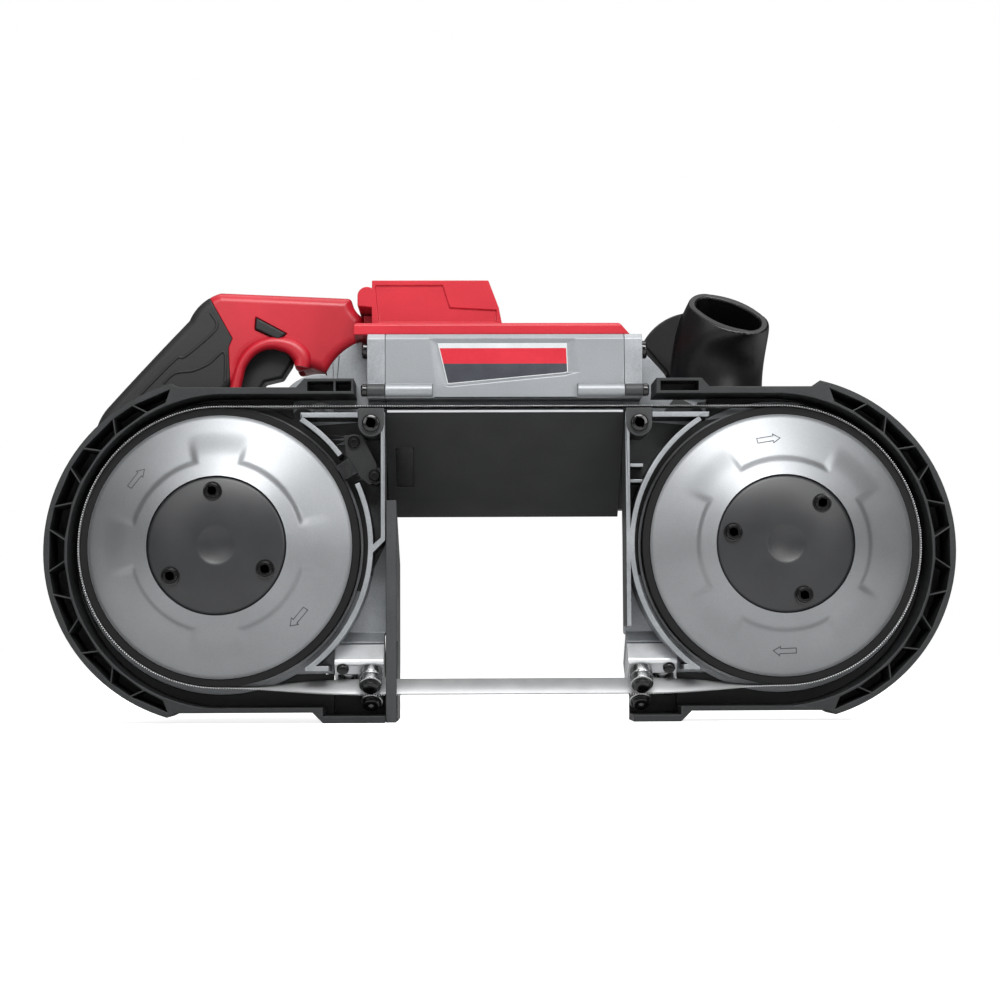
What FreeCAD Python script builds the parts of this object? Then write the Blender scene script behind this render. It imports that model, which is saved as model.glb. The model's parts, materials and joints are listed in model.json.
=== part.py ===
import FreeCAD, Part
import math
import os

# A cordless deep-cut portable band saw, seen from its open wheel side along +Y. X runs from the rear
# grip to the front handle, Z is up and z = 0 is the floor. Sizes are in millimetres. While it is
# built, y = 0 is the middle of the blade on the wheels; the finished pieces are moved so that the
# origin lies under the middle of the whole saw.

Vector = FreeCAD.Vector
ACROSS = Vector(1, 0, 0)
BACK = Vector(0, 1, 0)
UP = Vector(0, 0, 1)

# Fits
running_fit = 0.05
body_gap = 0.3
seat_gap = 0.1

# Blade and wheels
blade_length = 1139.8
blade_width = 12.7
blade_thickness = 0.5
blade_twist = 45.0
blade_height = 19.65
wheel_spacing = 319.0
tyre_thickness = 4.5
tyre_front = -4.0
wheel_edge_front = -5.0
wheel_cone_front = -20.0
wheel_flange_front = 7.0
wheel_back = 9.5
wheel_flange_height = 1.3
wheel_shell = 4.0
hub_radius = 24.0
hub_front = -17.0
cap_radius = 39.0
cap_rise = 3.0
cap_screw_circle = 30.5
cap_screw_head = 5.2
rib_circle = 48.5
rib_height = 1.2
rib_arc = 56.0
spindle_radius = 8.0
idler_bearing_radius = 16.0
tension_travel = 3.0

# Frames
plate_front = 12.0
plate_thickness = 6.0
plate_radius = 93.3
rib_front = -10.0
rib_thickness = 3.0
wheel_rib_gap = 4.7
rear_throat_margin = 14.4
front_throat_margin = 9.5

# Guards
guard_front = -14.0
guard_room = 9.2
guard_depth = 9.3
guard_wall = 3.9
guard_inner_wall = 1.9
guard_drop = 2.2
guard_crescent = 4.2
guard_web = 1.7
guard_top_gap = 6.0
guard_cells = 13
guard_sole = 6.0
sole_wall = 2.7
cell_wall = 3.0
foot_thickness = 4.0

# Bridge, motor and throat
bridge_front = -8.0
bridge_back = 88.0
bridge_rise = 37.0
end_wall = 10.3
slot_below_blade = 2.4
slot_above_blade = 4.4
slot_depth = 10.0
liner_thickness = 3.0
throat_back = 50.0
motor_depth = 48.0
motor_drop = 3.85
motor_radius = 29.0
motor_length = 50.0

# Gear train
bevel_pinion_teeth = 10
bevel_gear_teeth = 36
first_pinion_teeth = 12
first_gear_teeth = 40
final_pinion_teeth = 12
final_gear_teeth = 56
bevel_module = 1.1
first_stage_share = 0.355
gear_face = 8.0
case_wall = 3.5
case_depth = 56.0
layshaft_radius = 5.0

# Rear handle, trigger and battery mount
handle_thickness = 38.0
handle_middle = 50.0
grip_core = 24.0
trigger_width = 18.0
trigger_travel = 7.0
lock_travel = 4.0
battery_mount_height = 33.5
top_strip = 7.0

# Fasteners
cap_screw_height = 3.4
frame_screw_head = 5.0
frame_screw_height = 3.0
frame_screw_shank = 2.5
bridge_screw_head = 5.2
bridge_screw_height = 3.4
lower_screw_head = 3.6
small_screw_height = 2.5
small_screw_shank = 2.0
guide_screw_head = 3.5
brush_screw_head = 3.2
handle_screw_head = 3.0
handle_screw_height = 2.0
handle_screw_shank = 1.5
handle_screw_length = 24.0
handle_bolt_head = 7.0
handle_bolt_height = 5.0
handle_bolt_shank = 4.0

# Guides and shoe
roller_radius = 6.5
roller_length = 11.0
thrust_width = 6.0
roller_pin = 2.5
guide_reach = 15.5
guide_length = 28.0
shoe_thickness = 6.1
shoe_travel = 20.0
shoe_depth = 58.0

# Places that follow from the sizes above
half_spacing = wheel_spacing / 2
blade_radius = (blade_length - 2 * wheel_spacing) / (2 * math.pi)
tyre_radius = blade_radius - blade_thickness / 2 - body_gap
wheel_height = blade_height + blade_radius
top_run = wheel_height + blade_radius
seat_radius = tyre_radius - tyre_thickness
plate_back = plate_front + plate_thickness
rear_throat = -(half_spacing - tyre_radius - rear_throat_margin)
front_throat = half_spacing - tyre_radius - front_throat_margin
rib_radius = tyre_radius + wheel_rib_gap
rim_radius = tyre_radius + guard_room
guard_radius = rim_radius + guard_depth
slot_floor = top_run - slot_below_blade
slot_roof = top_run + slot_above_blade
bridge_top = slot_roof + bridge_rise
ceiling_sum = bridge_front + slot_floor
motor_height = top_run - motor_drop
rear_wall_face = rear_throat - end_wall
front_wall_face = front_throat + end_wall
handle_front = handle_middle - handle_thickness / 2
handle_back = handle_middle + handle_thickness / 2
cap_front = wheel_cone_front - cap_rise - 1
origin_shift = Vector(0, -(cap_front + bridge_back) / 2, 0)


def box(x0, x1, y0, y1, z0, z1):
    return Part.makeBox(x1 - x0, y1 - y0, z1 - z0, Vector(x0, y0, z0))


def rod(start, direction, radius, length):
    return Part.makeCylinder(radius, length, start, direction)


def ring(start, direction, inner, outer, length):
    return rod(start, direction, outer, length).cut(rod(start, direction, inner, length))


def outline(points, place):
    """A closed face through points. A pair of points in the list is an arc: middle, then end."""
    edges = []
    last = points[0]
    for step in points[1:] + points[:1]:
        if isinstance(step[0], tuple):
            middle, end = step
            edges.append(Part.Arc(place(*last), place(*middle), place(*end)).toShape())
        else:
            end = step
            edges.append(Part.LineSegment(place(*last), place(*end)).toShape())
        last = end
    return Part.Face(Part.Wire(edges))


def side_prism(points, y0, y1):
    """An outline seen along Y, as (x, z) points, run from y0 to y1."""
    face = outline(points, lambda x, z: Vector(x, y0, z))
    return face.extrude(Vector(0, y1 - y0, 0))


def end_prism(points, x0, x1):
    """An outline seen along X, as (y, z) points, run from x0 to x1."""
    face = outline(points, lambda y, z: Vector(x0, y, z))
    return face.extrude(Vector(x1 - x0, 0, 0))


def turned(points, x, z):
    """An outline of (radius, y) points turned about the Y line through x and z."""
    face = outline(points, lambda radius, y: Vector(x + radius, y, z))
    return face.revolve(Vector(x, 0, z), BACK, 360)


def polar(centre, radius, angle):
    """The (x, z) point at an angle in degrees, counted from +X towards +Z."""
    turn = math.radians(angle)
    return (centre[0] + radius * math.cos(turn), centre[1] + radius * math.sin(turn))


def arc_wall(centre, inner, outer, start, end, y0, y1):
    middle = (start + end) / 2
    points = [
        polar(centre, inner, start),
        (polar(centre, inner, middle), polar(centre, inner, end)),
        polar(centre, outer, end),
        (polar(centre, outer, middle), polar(centre, outer, start)),
    ]
    return side_prism(points, y0, y1)


def belt(first, first_radius, second, second_radius, y0, y1):
    """A prism round two circles and their outer tangents."""
    distance = math.hypot(second[0] - first[0], second[1] - first[1])
    heading = math.degrees(math.atan2(second[1] - first[1], second[0] - first[0]))
    lean = math.degrees(math.acos((first_radius - second_radius) / distance))
    points = [
        polar(first, first_radius, heading + lean),
        (polar(first, first_radius, heading + 180), polar(first, first_radius, heading - lean)),
        polar(second, second_radius, heading - lean),
        (polar(second, second_radius, heading), polar(second, second_radius, heading + lean)),
    ]
    return side_prism(points, y0, y1)


def joined(first, *others):
    return first.multiFuse(list(others)).removeSplitter()


def save(node, *solids):
    shape = solids[0].copy() if len(solids) == 1 else Part.makeCompound([solid.copy() for solid in solids])
    shape.translate(origin_shift)
    os.makedirs("parts", exist_ok=True)
    shape.exportStep("parts/" + node + ".step")


def screw(seat, inward, head_radius, head_height, shank_radius, shank_length):
    """A pan head standing out of its seat, with a plain shank running inward."""
    head = rod(seat, inward * -1, head_radius, head_height)
    rims = [edge for edge in head.Edges if edge.Curve.TypeId == "Part::GeomCircle"]
    crown = [edge for edge in rims if edge.CenterOfMass.sub(seat).Length > head_height / 2]
    rounded = head.makeFillet(head_height / 3, crown)
    return rounded.fuse(rod(seat, inward, shank_radius, shank_length)).removeSplitter()


# Blade: a straight top run, two half turns round the wheels, and a lower run that twists so that the
# teeth point down and forward between the two guides.
rear_guide_x = rear_throat - body_gap - roller_radius - 1.5
front_guide_x = front_throat + body_gap + roller_radius + 1.5
twist_steps = 6


def slant(x, across_blade, up_blade, twist=blade_twist):
    """A point of the lower run: across the blade's thickness, then towards its back edge."""
    turn = math.radians(twist)
    y = across_blade * math.sin(turn) + up_blade * math.cos(turn)
    z = blade_height - across_blade * math.cos(turn) + up_blade * math.sin(turn)
    return Vector(x, y, z)


def slant_box(x0, x1, across0, across1, up0, up1):
    corners = [(across0, up0), (across1, up0), (across1, up1), (across0, up1)]
    face = outline(corners, lambda across, up: slant(x0, across, up))
    return face.extrude(Vector(x1 - x0, 0, 0))


def make_blade():
    half_width = blade_width / 2
    half_thick = blade_thickness / 2
    stations = []
    for side, guide in ((-1, rear_guide_x), (1, front_guide_x)):
        ends = []
        for step in range(twist_steps + 1):
            share = step / twist_steps
            x = side * half_spacing + share * (guide - side * half_spacing)
            ends.append((x, blade_twist * share * share * (3 - 2 * share)))
        stations += ends if side < 0 else ends[::-1]
    sections = []
    for x, twist in stations:
        corners = [
            slant(x, across, up, twist)
            for across, up in (
                (-half_thick, -half_width),
                (half_thick, -half_width),
                (half_thick, half_width),
                (-half_thick, half_width),
            )
        ]
        sections.append(Part.makePolygon(corners + corners[:1]))
    lower = Part.makeLoft(sections, True, True)
    underside = top_run - half_thick
    upper = box(-half_spacing, half_spacing, -half_width, half_width, underside, underside + blade_thickness)
    turns = []
    for side in (-1, 1):
        axle = Vector(side * half_spacing, 0, wheel_height)
        whole = ring(
            axle - BACK * half_width, BACK, blade_radius - half_thick, blade_radius + half_thick, blade_width
        )
        outer_half = box(0, 2 * blade_radius, -blade_width, blade_width, 0, 2 * wheel_height)
        outer_half.translate(Vector(side * half_spacing - (2 * blade_radius if side < 0 else 0), 0, 0))
        turns.append(whole.common(outer_half))
    return joined(lower, upper, *turns)


save("blade", make_blade())


# Wheels: conical die-cast discs with a rear flange, a rubber tyre, and a hub cap held by three screws.
cap_seat = cap_radius + seat_gap
screw_angles = {-1: (94, 214, 334), 1: (48, 168, 288)}
rib_turn = {-1: 45, 1: 0}


def make_wheel(x, side, bore):
    inner_rim = seat_radius - wheel_shell - 1
    points = [
        (bore, hub_front),
        (cap_seat, hub_front),
        (cap_seat, wheel_cone_front),
        (seat_radius, wheel_edge_front),
        (seat_radius, wheel_flange_front),
        (tyre_radius + wheel_flange_height, wheel_flange_front),
        (tyre_radius + wheel_flange_height, wheel_back),
        (inner_rim, wheel_back),
        (inner_rim, wheel_edge_front + wheel_shell),
        (cap_seat - wheel_shell, hub_front + wheel_shell),
        (hub_radius, hub_front + wheel_shell),
        (hub_radius, wheel_back),
        (bore, wheel_back),
    ]
    disc = turned(points, x, wheel_height)
    slope = (wheel_edge_front - wheel_cone_front) / (seat_radius - cap_seat)
    ribs = []
    for quarter in range(4):
        angle = rib_turn[side] + 90 * quarter
        face_y = wheel_cone_front + slope * (rib_circle - cap_seat)
        section = [
            (rib_circle - 1.5, face_y - slope * 1.5 + 1),
            (rib_circle - 0.5, face_y - slope * 0.5 - rib_height),
            (rib_circle + 0.5, face_y + slope * 0.5 - rib_height),
            (rib_circle + 3.0, face_y + slope * 3.0 + 1),
        ]
        face = outline(section, lambda radius, y: Vector(x + radius, y, wheel_height))
        arc = face.revolve(Vector(x, 0, wheel_height), BACK, rib_arc)
        arc.rotate(Vector(x, 0, wheel_height), BACK, -angle - rib_arc / 2)
        ribs.append(arc)
    return joined(disc, *ribs)


def make_cap(x, angles):
    front = wheel_cone_front
    points = [
        (0, hub_front - seat_gap),
        (cap_radius, hub_front - seat_gap),
        (cap_radius, front - 0.8),
        (cap_radius - 1.6, front - 2.0),
        (cap_screw_circle / 3, front - cap_rise),
        (cap_screw_circle / 3, cap_front),
        (0, cap_front),
    ]
    cap = turned(points, x, wheel_height)
    for angle in angles:
        px, pz = polar((x, wheel_height), cap_screw_circle, angle)
        cap = cap.cut(rod(Vector(px, front - cap_rise - 2, pz), BACK, cap_screw_head + 1, cap_rise + 2))
        cap = cap.cut(rod(Vector(px, front - 1, pz), BACK, frame_screw_shank + running_fit, 10))
    return cap


def make_cap_screws(x, angles):
    screws = []
    for angle in angles:
        px, pz = polar((x, wheel_height), cap_screw_circle, angle)
        length = hub_front + wheel_shell - wheel_cone_front
        seat = Vector(px, wheel_cone_front, pz)
        screws.append(screw(seat, BACK, cap_screw_head, cap_screw_height, frame_screw_shank, length))
    return screws


for name, side, bore in (("drive", -1, spindle_radius), ("idler", 1, idler_bearing_radius)):
    wheel_x = side * half_spacing
    angles = screw_angles[side]
    wheel = make_wheel(wheel_x, side, bore + running_fit)
    for angle in angles:
        px, pz = polar((wheel_x, wheel_height), cap_screw_circle, angle)
        hole = rod(Vector(px, hub_front - 1, pz), BACK, frame_screw_shank + running_fit, wheel_shell + 2)
        wheel = wheel.cut(hole)
    tyre = ring(
        Vector(wheel_x, tyre_front, wheel_height),
        BACK,
        seat_radius,
        tyre_radius,
        wheel_flange_front - tyre_front,
    )
    save(name + "_wheel", wheel)
    save(name + "_tyre", tyre)
    save(name + "_hub_cap", make_cap(wheel_x, angles))
    save(name + "_cap_screws", *make_cap_screws(wheel_x, angles))


# Idler axle and bearings: the idler turns on two bearings on an axle that is fixed to the tension
# carriage, which slides in a window of the front frame.
idler_x = half_spacing
carriage_half = 18.0
carriage_height = 40.0
keeper = 4.0
keeper_front = plate_back + body_gap
keeper_lap = 4.0
bearing_width = 8.0
axle_front = hub_front + 2
axle_head_radius = 11.0
axle_head_height = 3.0
axle = rod(Vector(idler_x, axle_front, wheel_height), BACK, spindle_radius, plate_front - axle_front + 1)
axle_head = rod(Vector(idler_x, axle_front, wheel_height), BACK, axle_head_radius, axle_head_height)
carriage = joined(
    box(
        idler_x - carriage_half,
        idler_x + carriage_half,
        plate_front + body_gap,
        keeper_front,
        wheel_height - carriage_height / 2,
        wheel_height + carriage_height / 2,
    ),
    box(
        idler_x - carriage_half - keeper_lap,
        idler_x + carriage_half + keeper_lap,
        keeper_front,
        keeper_front + keeper,
        wheel_height - carriage_height / 2 - keeper_lap,
        wheel_height + carriage_height / 2 + keeper_lap,
    ),
    axle,
    axle_head,
)
save("tension_carriage", carriage)
idler_bearings = [
    ring(
        Vector(idler_x, start, wheel_height),
        BACK,
        spindle_radius + running_fit,
        idler_bearing_radius,
        bearing_width,
    )
    for start in (axle_front + axle_head_height + seat_gap, wheel_back - bearing_width)
]
save("idler_bearings", *idler_bearings)


# Gear train: the motor turns a bevel pair, then two spur pairs carry the drive down to the spindle.
# The three gear shafts lie on one line, so the modules follow from their spacing.
bevel_gear_radius = bevel_module * bevel_gear_teeth / 2
bevel_pinion_radius = bevel_module * bevel_pinion_teeth / 2
case_side = rear_wall_face - seat_gap
spindle = (-half_spacing, wheel_height)
first_shaft = (case_side - case_wall - bevel_gear_radius - 5, motor_height)
shaft_span = math.hypot(first_shaft[0] - spindle[0], first_shaft[1] - spindle[1])
shaft_angle = math.degrees(math.atan2(spindle[1] - first_shaft[1], spindle[0] - first_shaft[0]))
first_distance = first_stage_share * shaft_span
final_distance = shaft_span - first_distance
second_shaft = polar(first_shaft, first_distance, shaft_angle)
first_module = 2 * first_distance / (first_pinion_teeth + first_gear_teeth)
final_module = 2 * final_distance / (final_pinion_teeth + final_gear_teeth)
final_gear_radius = final_module * final_gear_teeth / 2
first_gear_radius = first_module * first_gear_teeth / 2
case_front = plate_back + seat_gap
case_back = case_front + case_depth
cover_front = case_back - case_wall
bearing_pocket = case_wall - 1
final_front = case_front + case_wall + 1
first_front = final_front + gear_face + 3
tooth_foot = 0.30
tooth_tip = 0.12
addendum = 0.9
dedendum = 1.2


def spur_gear(teeth, module, centre, facing, y0, y1):
    """A straight gear with one tooth pointing along the angle facing."""
    root = module * (teeth / 2 - dedendum)
    tip = module * (teeth / 2 + addendum)
    pitch = 360 / teeth
    points = []
    for tooth in range(teeth):
        angle = facing + tooth * pitch
        points.append(polar(centre, root, angle - tooth_foot * pitch))
        points.append(polar(centre, tip, angle - tooth_tip * pitch))
        points.append(polar(centre, tip, angle + tooth_tip * pitch))
        points.append(polar(centre, root, angle + tooth_foot * pitch))
    return side_prism(points, y0, y1)


def bevel_gear(teeth, mate_teeth, module, facing, bore, hub):
    """A straight bevel gear on +Z with its cone's tip at the origin and a tooth towards facing."""
    radius = module * teeth / 2
    mate_radius = module * mate_teeth / 2
    cone = math.hypot(radius, mate_radius)
    wide = (radius, mate_radius)
    out = (mate_radius / cone, -radius / cone)
    foot = tuple(wide[i] - dedendum * module * out[i] for i in (0, 1))
    deep = tuple(wide[i] - (dedendum + 0.5) * module * out[i] for i in (0, 1))
    tip = tuple(wide[i] + addendum * module * out[i] for i in (0, 1))
    small = 1 - gear_face / cone
    blank_points = [
        (bore, foot[1] * small),
        (foot[0] * small, foot[1] * small),
        foot,
        (foot[0], foot[1] + hub),
        (bore, foot[1] + hub),
    ]
    face = outline(blank_points, lambda reach, height: Vector(reach, 0, height))
    blank = face.revolve(Vector(0, 0, 0), UP, 360)
    pitch = 360 / teeth
    section = ((deep, -tooth_foot), (tip, -tooth_tip), (tip, tooth_tip), (deep, tooth_foot))
    teeth_solids = []
    for tooth in range(teeth):
        angle = facing + tooth * pitch
        wires = []
        for scale in (1, small):
            corners = []
            for point, share in section:
                turn = math.radians(angle + share * pitch)
                reach = point[0] * scale
                corners.append(Vector(reach * math.cos(turn), reach * math.sin(turn), point[1] * scale))
            wires.append(Part.makePolygon(corners + corners[:1]))
        teeth_solids.append(Part.makeLoft(wires, True, True))
    return joined(blank, *teeth_solids)


bevel_tip = Vector(first_shaft[0], motor_depth, motor_height)
gear_hub = 4.0
bevel_wheel = bevel_gear(
    bevel_gear_teeth,
    bevel_pinion_teeth,
    bevel_module,
    180 / bevel_gear_teeth,
    layshaft_radius + running_fit,
    gear_hub,
)
bevel_wheel.rotate(Vector(0, 0, 0), ACROSS, -90)
bevel_wheel.translate(bevel_tip)
rotor_shaft_radius = 3.5
rotor_nose_radius = 2.0
pinion_hub = 3.0
bevel_pinion = bevel_gear(
    bevel_pinion_teeth, bevel_gear_teeth, bevel_module, 90, rotor_nose_radius + running_fit, pinion_hub
)
bevel_pinion.rotate(Vector(0, 0, 0), BACK, 90)
bevel_pinion.translate(bevel_tip)
save("bevel_gear", bevel_wheel)
save("bevel_pinion", bevel_pinion)

shaft_start = case_front + 0.5
shaft_end = cover_front + bearing_pocket - body_gap
shaft_length = shaft_end - shaft_start


def shaft_point(centre, y):
    return Vector(centre[0], y, centre[1])


first_pinion = spur_gear(
    first_pinion_teeth, first_module, first_shaft, shaft_angle, first_front, first_front + gear_face
)
first_layshaft = joined(
    rod(shaft_point(first_shaft, shaft_start), BACK, layshaft_radius, shaft_length), first_pinion
)
first_gear = spur_gear(
    first_gear_teeth,
    first_module,
    second_shaft,
    shaft_angle + 180 + 180 / first_gear_teeth,
    first_front,
    first_front + gear_face,
)
final_pinion = spur_gear(
    final_pinion_teeth, final_module, second_shaft, shaft_angle, final_front, final_front + gear_face
)
second_layshaft = joined(
    rod(shaft_point(second_shaft, shaft_start), BACK, layshaft_radius, shaft_length), final_pinion
)
final_gear = spur_gear(
    final_gear_teeth,
    final_module,
    spindle,
    shaft_angle + 180 + 180 / final_gear_teeth,
    final_front,
    final_front + gear_face,
)
save("first_layshaft", first_layshaft)
save(
    "first_gear",
    first_gear.cut(rod(shaft_point(second_shaft, 0), BACK, layshaft_radius + running_fit, case_back)),
)
save("second_layshaft", second_layshaft)
spindle_bore = rod(shaft_point(spindle, 0), BACK, spindle_radius + running_fit, case_back)
save("final_gear", final_gear.cut(spindle_bore))
spindle_front = hub_front - seat_gap + 1
save(
    "drive_spindle",
    rod(shaft_point(spindle, spindle_front), BACK, spindle_radius, shaft_end - spindle_front),
)


# Motor: a brushless motor lies along the bridge, with its rotor shaft reaching into the gear case.
motor_start = rear_throat + 18
rotor_end = motor_start + motor_length + 26
rotor_bearing_radius = 11.0
rotor_bearing_width = 8.0
pinion_cone = math.hypot(bevel_gear_radius, bevel_pinion_radius)
pinion_back = bevel_tip.x + bevel_gear_radius + dedendum * bevel_module * bevel_pinion_radius / pinion_cone


def motor_point(x):
    return Vector(x, motor_depth, motor_height)


rotor_radius = 16.5
stator = ring(motor_point(motor_start), ACROSS, rotor_radius + 0.8, motor_radius - seat_gap, motor_length)
for slot in range(6):
    px, pz = polar((motor_depth, motor_height), rotor_radius + 6, 60 * slot)
    stator = stator.cut(rod(Vector(motor_start - 1, px, pz), ACROSS, 3.2, motor_length + 2))
save("motor_stator", stator)
shaft_start = pinion_back + pinion_hub
rotor = joined(
    rod(motor_point(shaft_start), ACROSS, rotor_shaft_radius, rotor_end - shaft_start),
    rod(motor_point(bevel_tip.x + bevel_gear_radius / 2 + pinion_hub), ACROSS, rotor_nose_radius, 16),
    rod(motor_point(motor_start + 1), ACROSS, rotor_radius, motor_length - 2),
)
save("motor_rotor", rotor)
fan_start = motor_start + motor_length + 4
fan_width = 8.0
fan = joined(
    ring(motor_point(fan_start), ACROSS, rotor_shaft_radius + running_fit, 9, fan_width),
    ring(motor_point(fan_start), ACROSS, 8, motor_radius - 4, 1.5),
)
for blade_number in range(9):
    vane = box(
        fan_start,
        fan_start + fan_width,
        motor_depth - 0.7,
        motor_depth + 0.7,
        motor_height + 8,
        motor_height + motor_radius - 4.5,
    )
    vane.rotate(motor_point(0), ACROSS, 40 * blade_number)
    fan = fan.fuse(vane)
save("motor_fan", fan.removeSplitter())
rotor_bearing_starts = (rear_wall_face + 1, rotor_end - rotor_bearing_width)


# Roller guides: each holds the twisted blade between two face rollers and a thrust roller at its back
# edge. The pins are pressed into a block that is screwed under a lug of its frame.
thrust_radius = 5.0
guide_bottom = blade_width / 2 + 0.4
guide_top = guide_bottom + guide_reach
guide_half = 2 * roller_radius + 0.5
face_offset = blade_thickness / 2 + body_gap + roller_radius
thrust_offset = blade_width / 2 + body_gap + thrust_radius
thrust_step = 13.0
guide_screw_step = 16.0
guide_screw_across = 9.0
guide_lug = 9.0
pin_inset = 2.0
pin_head = 1.8
pin_head_height = 1.4
pin_stand = 1.6
across_axis = slant(0, 1, 0) - slant(0, 0, 0)
up_axis = slant(0, 0, 1) - slant(0, 0, 0)
guides = {}
guide_screws = []
for name, side, x in (("rear", -1, rear_guide_x), ("front", 1, front_guide_x)):
    near = x - side * (roller_radius + 0.8)
    far = near + side * guide_length
    low, high = min(near, far), max(near, far)
    block = slant_box(low, high, -guide_half, guide_half, guide_bottom, guide_top)
    long_edges = [edge for edge in block.Edges if abs(edge.Length - guide_length) < 0.01]
    block = block.makeFillet(2.5, long_edges)
    thrust_x = x + side * thrust_step
    slot_half = thrust_width / 2 + 0.4
    block = block.cut(
        slant_box(
            thrust_x - thrust_radius - 1,
            thrust_x + thrust_radius + 1,
            -slot_half,
            slot_half,
            guide_bottom - 1,
            thrust_offset + thrust_radius + 1,
        )
    )
    pins = []
    for place, across in (("lower", 1), ("upper", -1)):
        start = slant(x, across * face_offset, -roller_length / 2 - pin_stand)
        pins.append(rod(start, up_axis, roller_pin, roller_length / 2 + pin_stand + guide_top - pin_inset))
        pins.append(rod(start, up_axis, roller_pin + pin_head, pin_head_height))
        roller_start = slant(x, across * face_offset, -roller_length / 2)
        roller = ring(roller_start, up_axis, roller_pin + running_fit, roller_radius, roller_length)
        groove = ring(
            slant(x, across * face_offset, -0.4), up_axis, roller_radius - 0.4, roller_radius + 1, 0.8
        )
        save(name + "_" + place + "_roller", roller.cut(groove))
    pin_start = slant(thrust_x, -guide_half + pin_inset, thrust_offset)
    pins.append(rod(pin_start, across_axis, roller_pin, 2 * (guide_half - pin_inset)))
    thrust_start = slant(thrust_x, -thrust_width / 2, thrust_offset)
    save(
        name + "_thrust_roller",
        ring(thrust_start, across_axis, roller_pin + running_fit, thrust_radius, thrust_width),
    )
    room_start = Vector(side * half_spacing, rib_front, wheel_height)
    wheel_room = rod(room_start, BACK, rib_radius, plate_front - rib_front)
    block = joined(block, *pins).cut(wheel_room)
    for across in (-guide_screw_across, guide_screw_across):
        seat = slant(x + side * guide_screw_step, across, guide_bottom)
        block = block.cut(rod(seat, up_axis, small_screw_shank + running_fit, guide_reach + 1))
        length = guide_reach + guide_lug - pin_inset
        guide_screws.append(
            screw(seat, up_axis, guide_screw_head, small_screw_height, small_screw_shank, length)
        )
    save(name + "_guide_block", block)
    guides[side] = (low, high, x)
save("guide_screws", *guide_screws)


# Frames: a plate behind each wheel, ribs beside the throat, an end wall for the bridge, and a lug for
# the guide.
bridge_slope = ceiling_sum + (liner_thickness + seat_gap) * math.sqrt(2)
bridge_low = bridge_slope - throat_back
upper_screw = (bridge_front + 11, bridge_top - 8)
lower_screw = (bridge_front - 0.8, slot_roof + 4.2)
bridge_outline = [
    (bridge_front, slot_roof),
    (bridge_front, bridge_top - 3),
    (bridge_front + 3, bridge_top),
    (bridge_back - 8, bridge_top),
    (bridge_back, bridge_top - 8),
    (bridge_back, bridge_low + 26),
    (throat_back + 12, bridge_low),
    (throat_back, bridge_low),
    (slot_depth, bridge_slope - slot_depth),
    (slot_depth, slot_roof),
]
brush_screw_angles = (38.2, 24.8)
brush_gap = (24.5, 37.0)
brush_screw_circle = tyre_radius + 17
tab_screw_drop = 10.6
tab_screw_inset = 8.0
tab_screw_length = 12.0
tab_boss = 7.4
tab_ledge = 2.4
brush_boss = 5.0
lower_boss = 3.8
tab_front = rib_front - 0.5
hook_height = blade_height + 9.3
rib_spans = {-1: (-54.5, 57.5, 31.8, 45.0), 1: (122.5, 235.0, 32.0, 41.1)}


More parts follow.
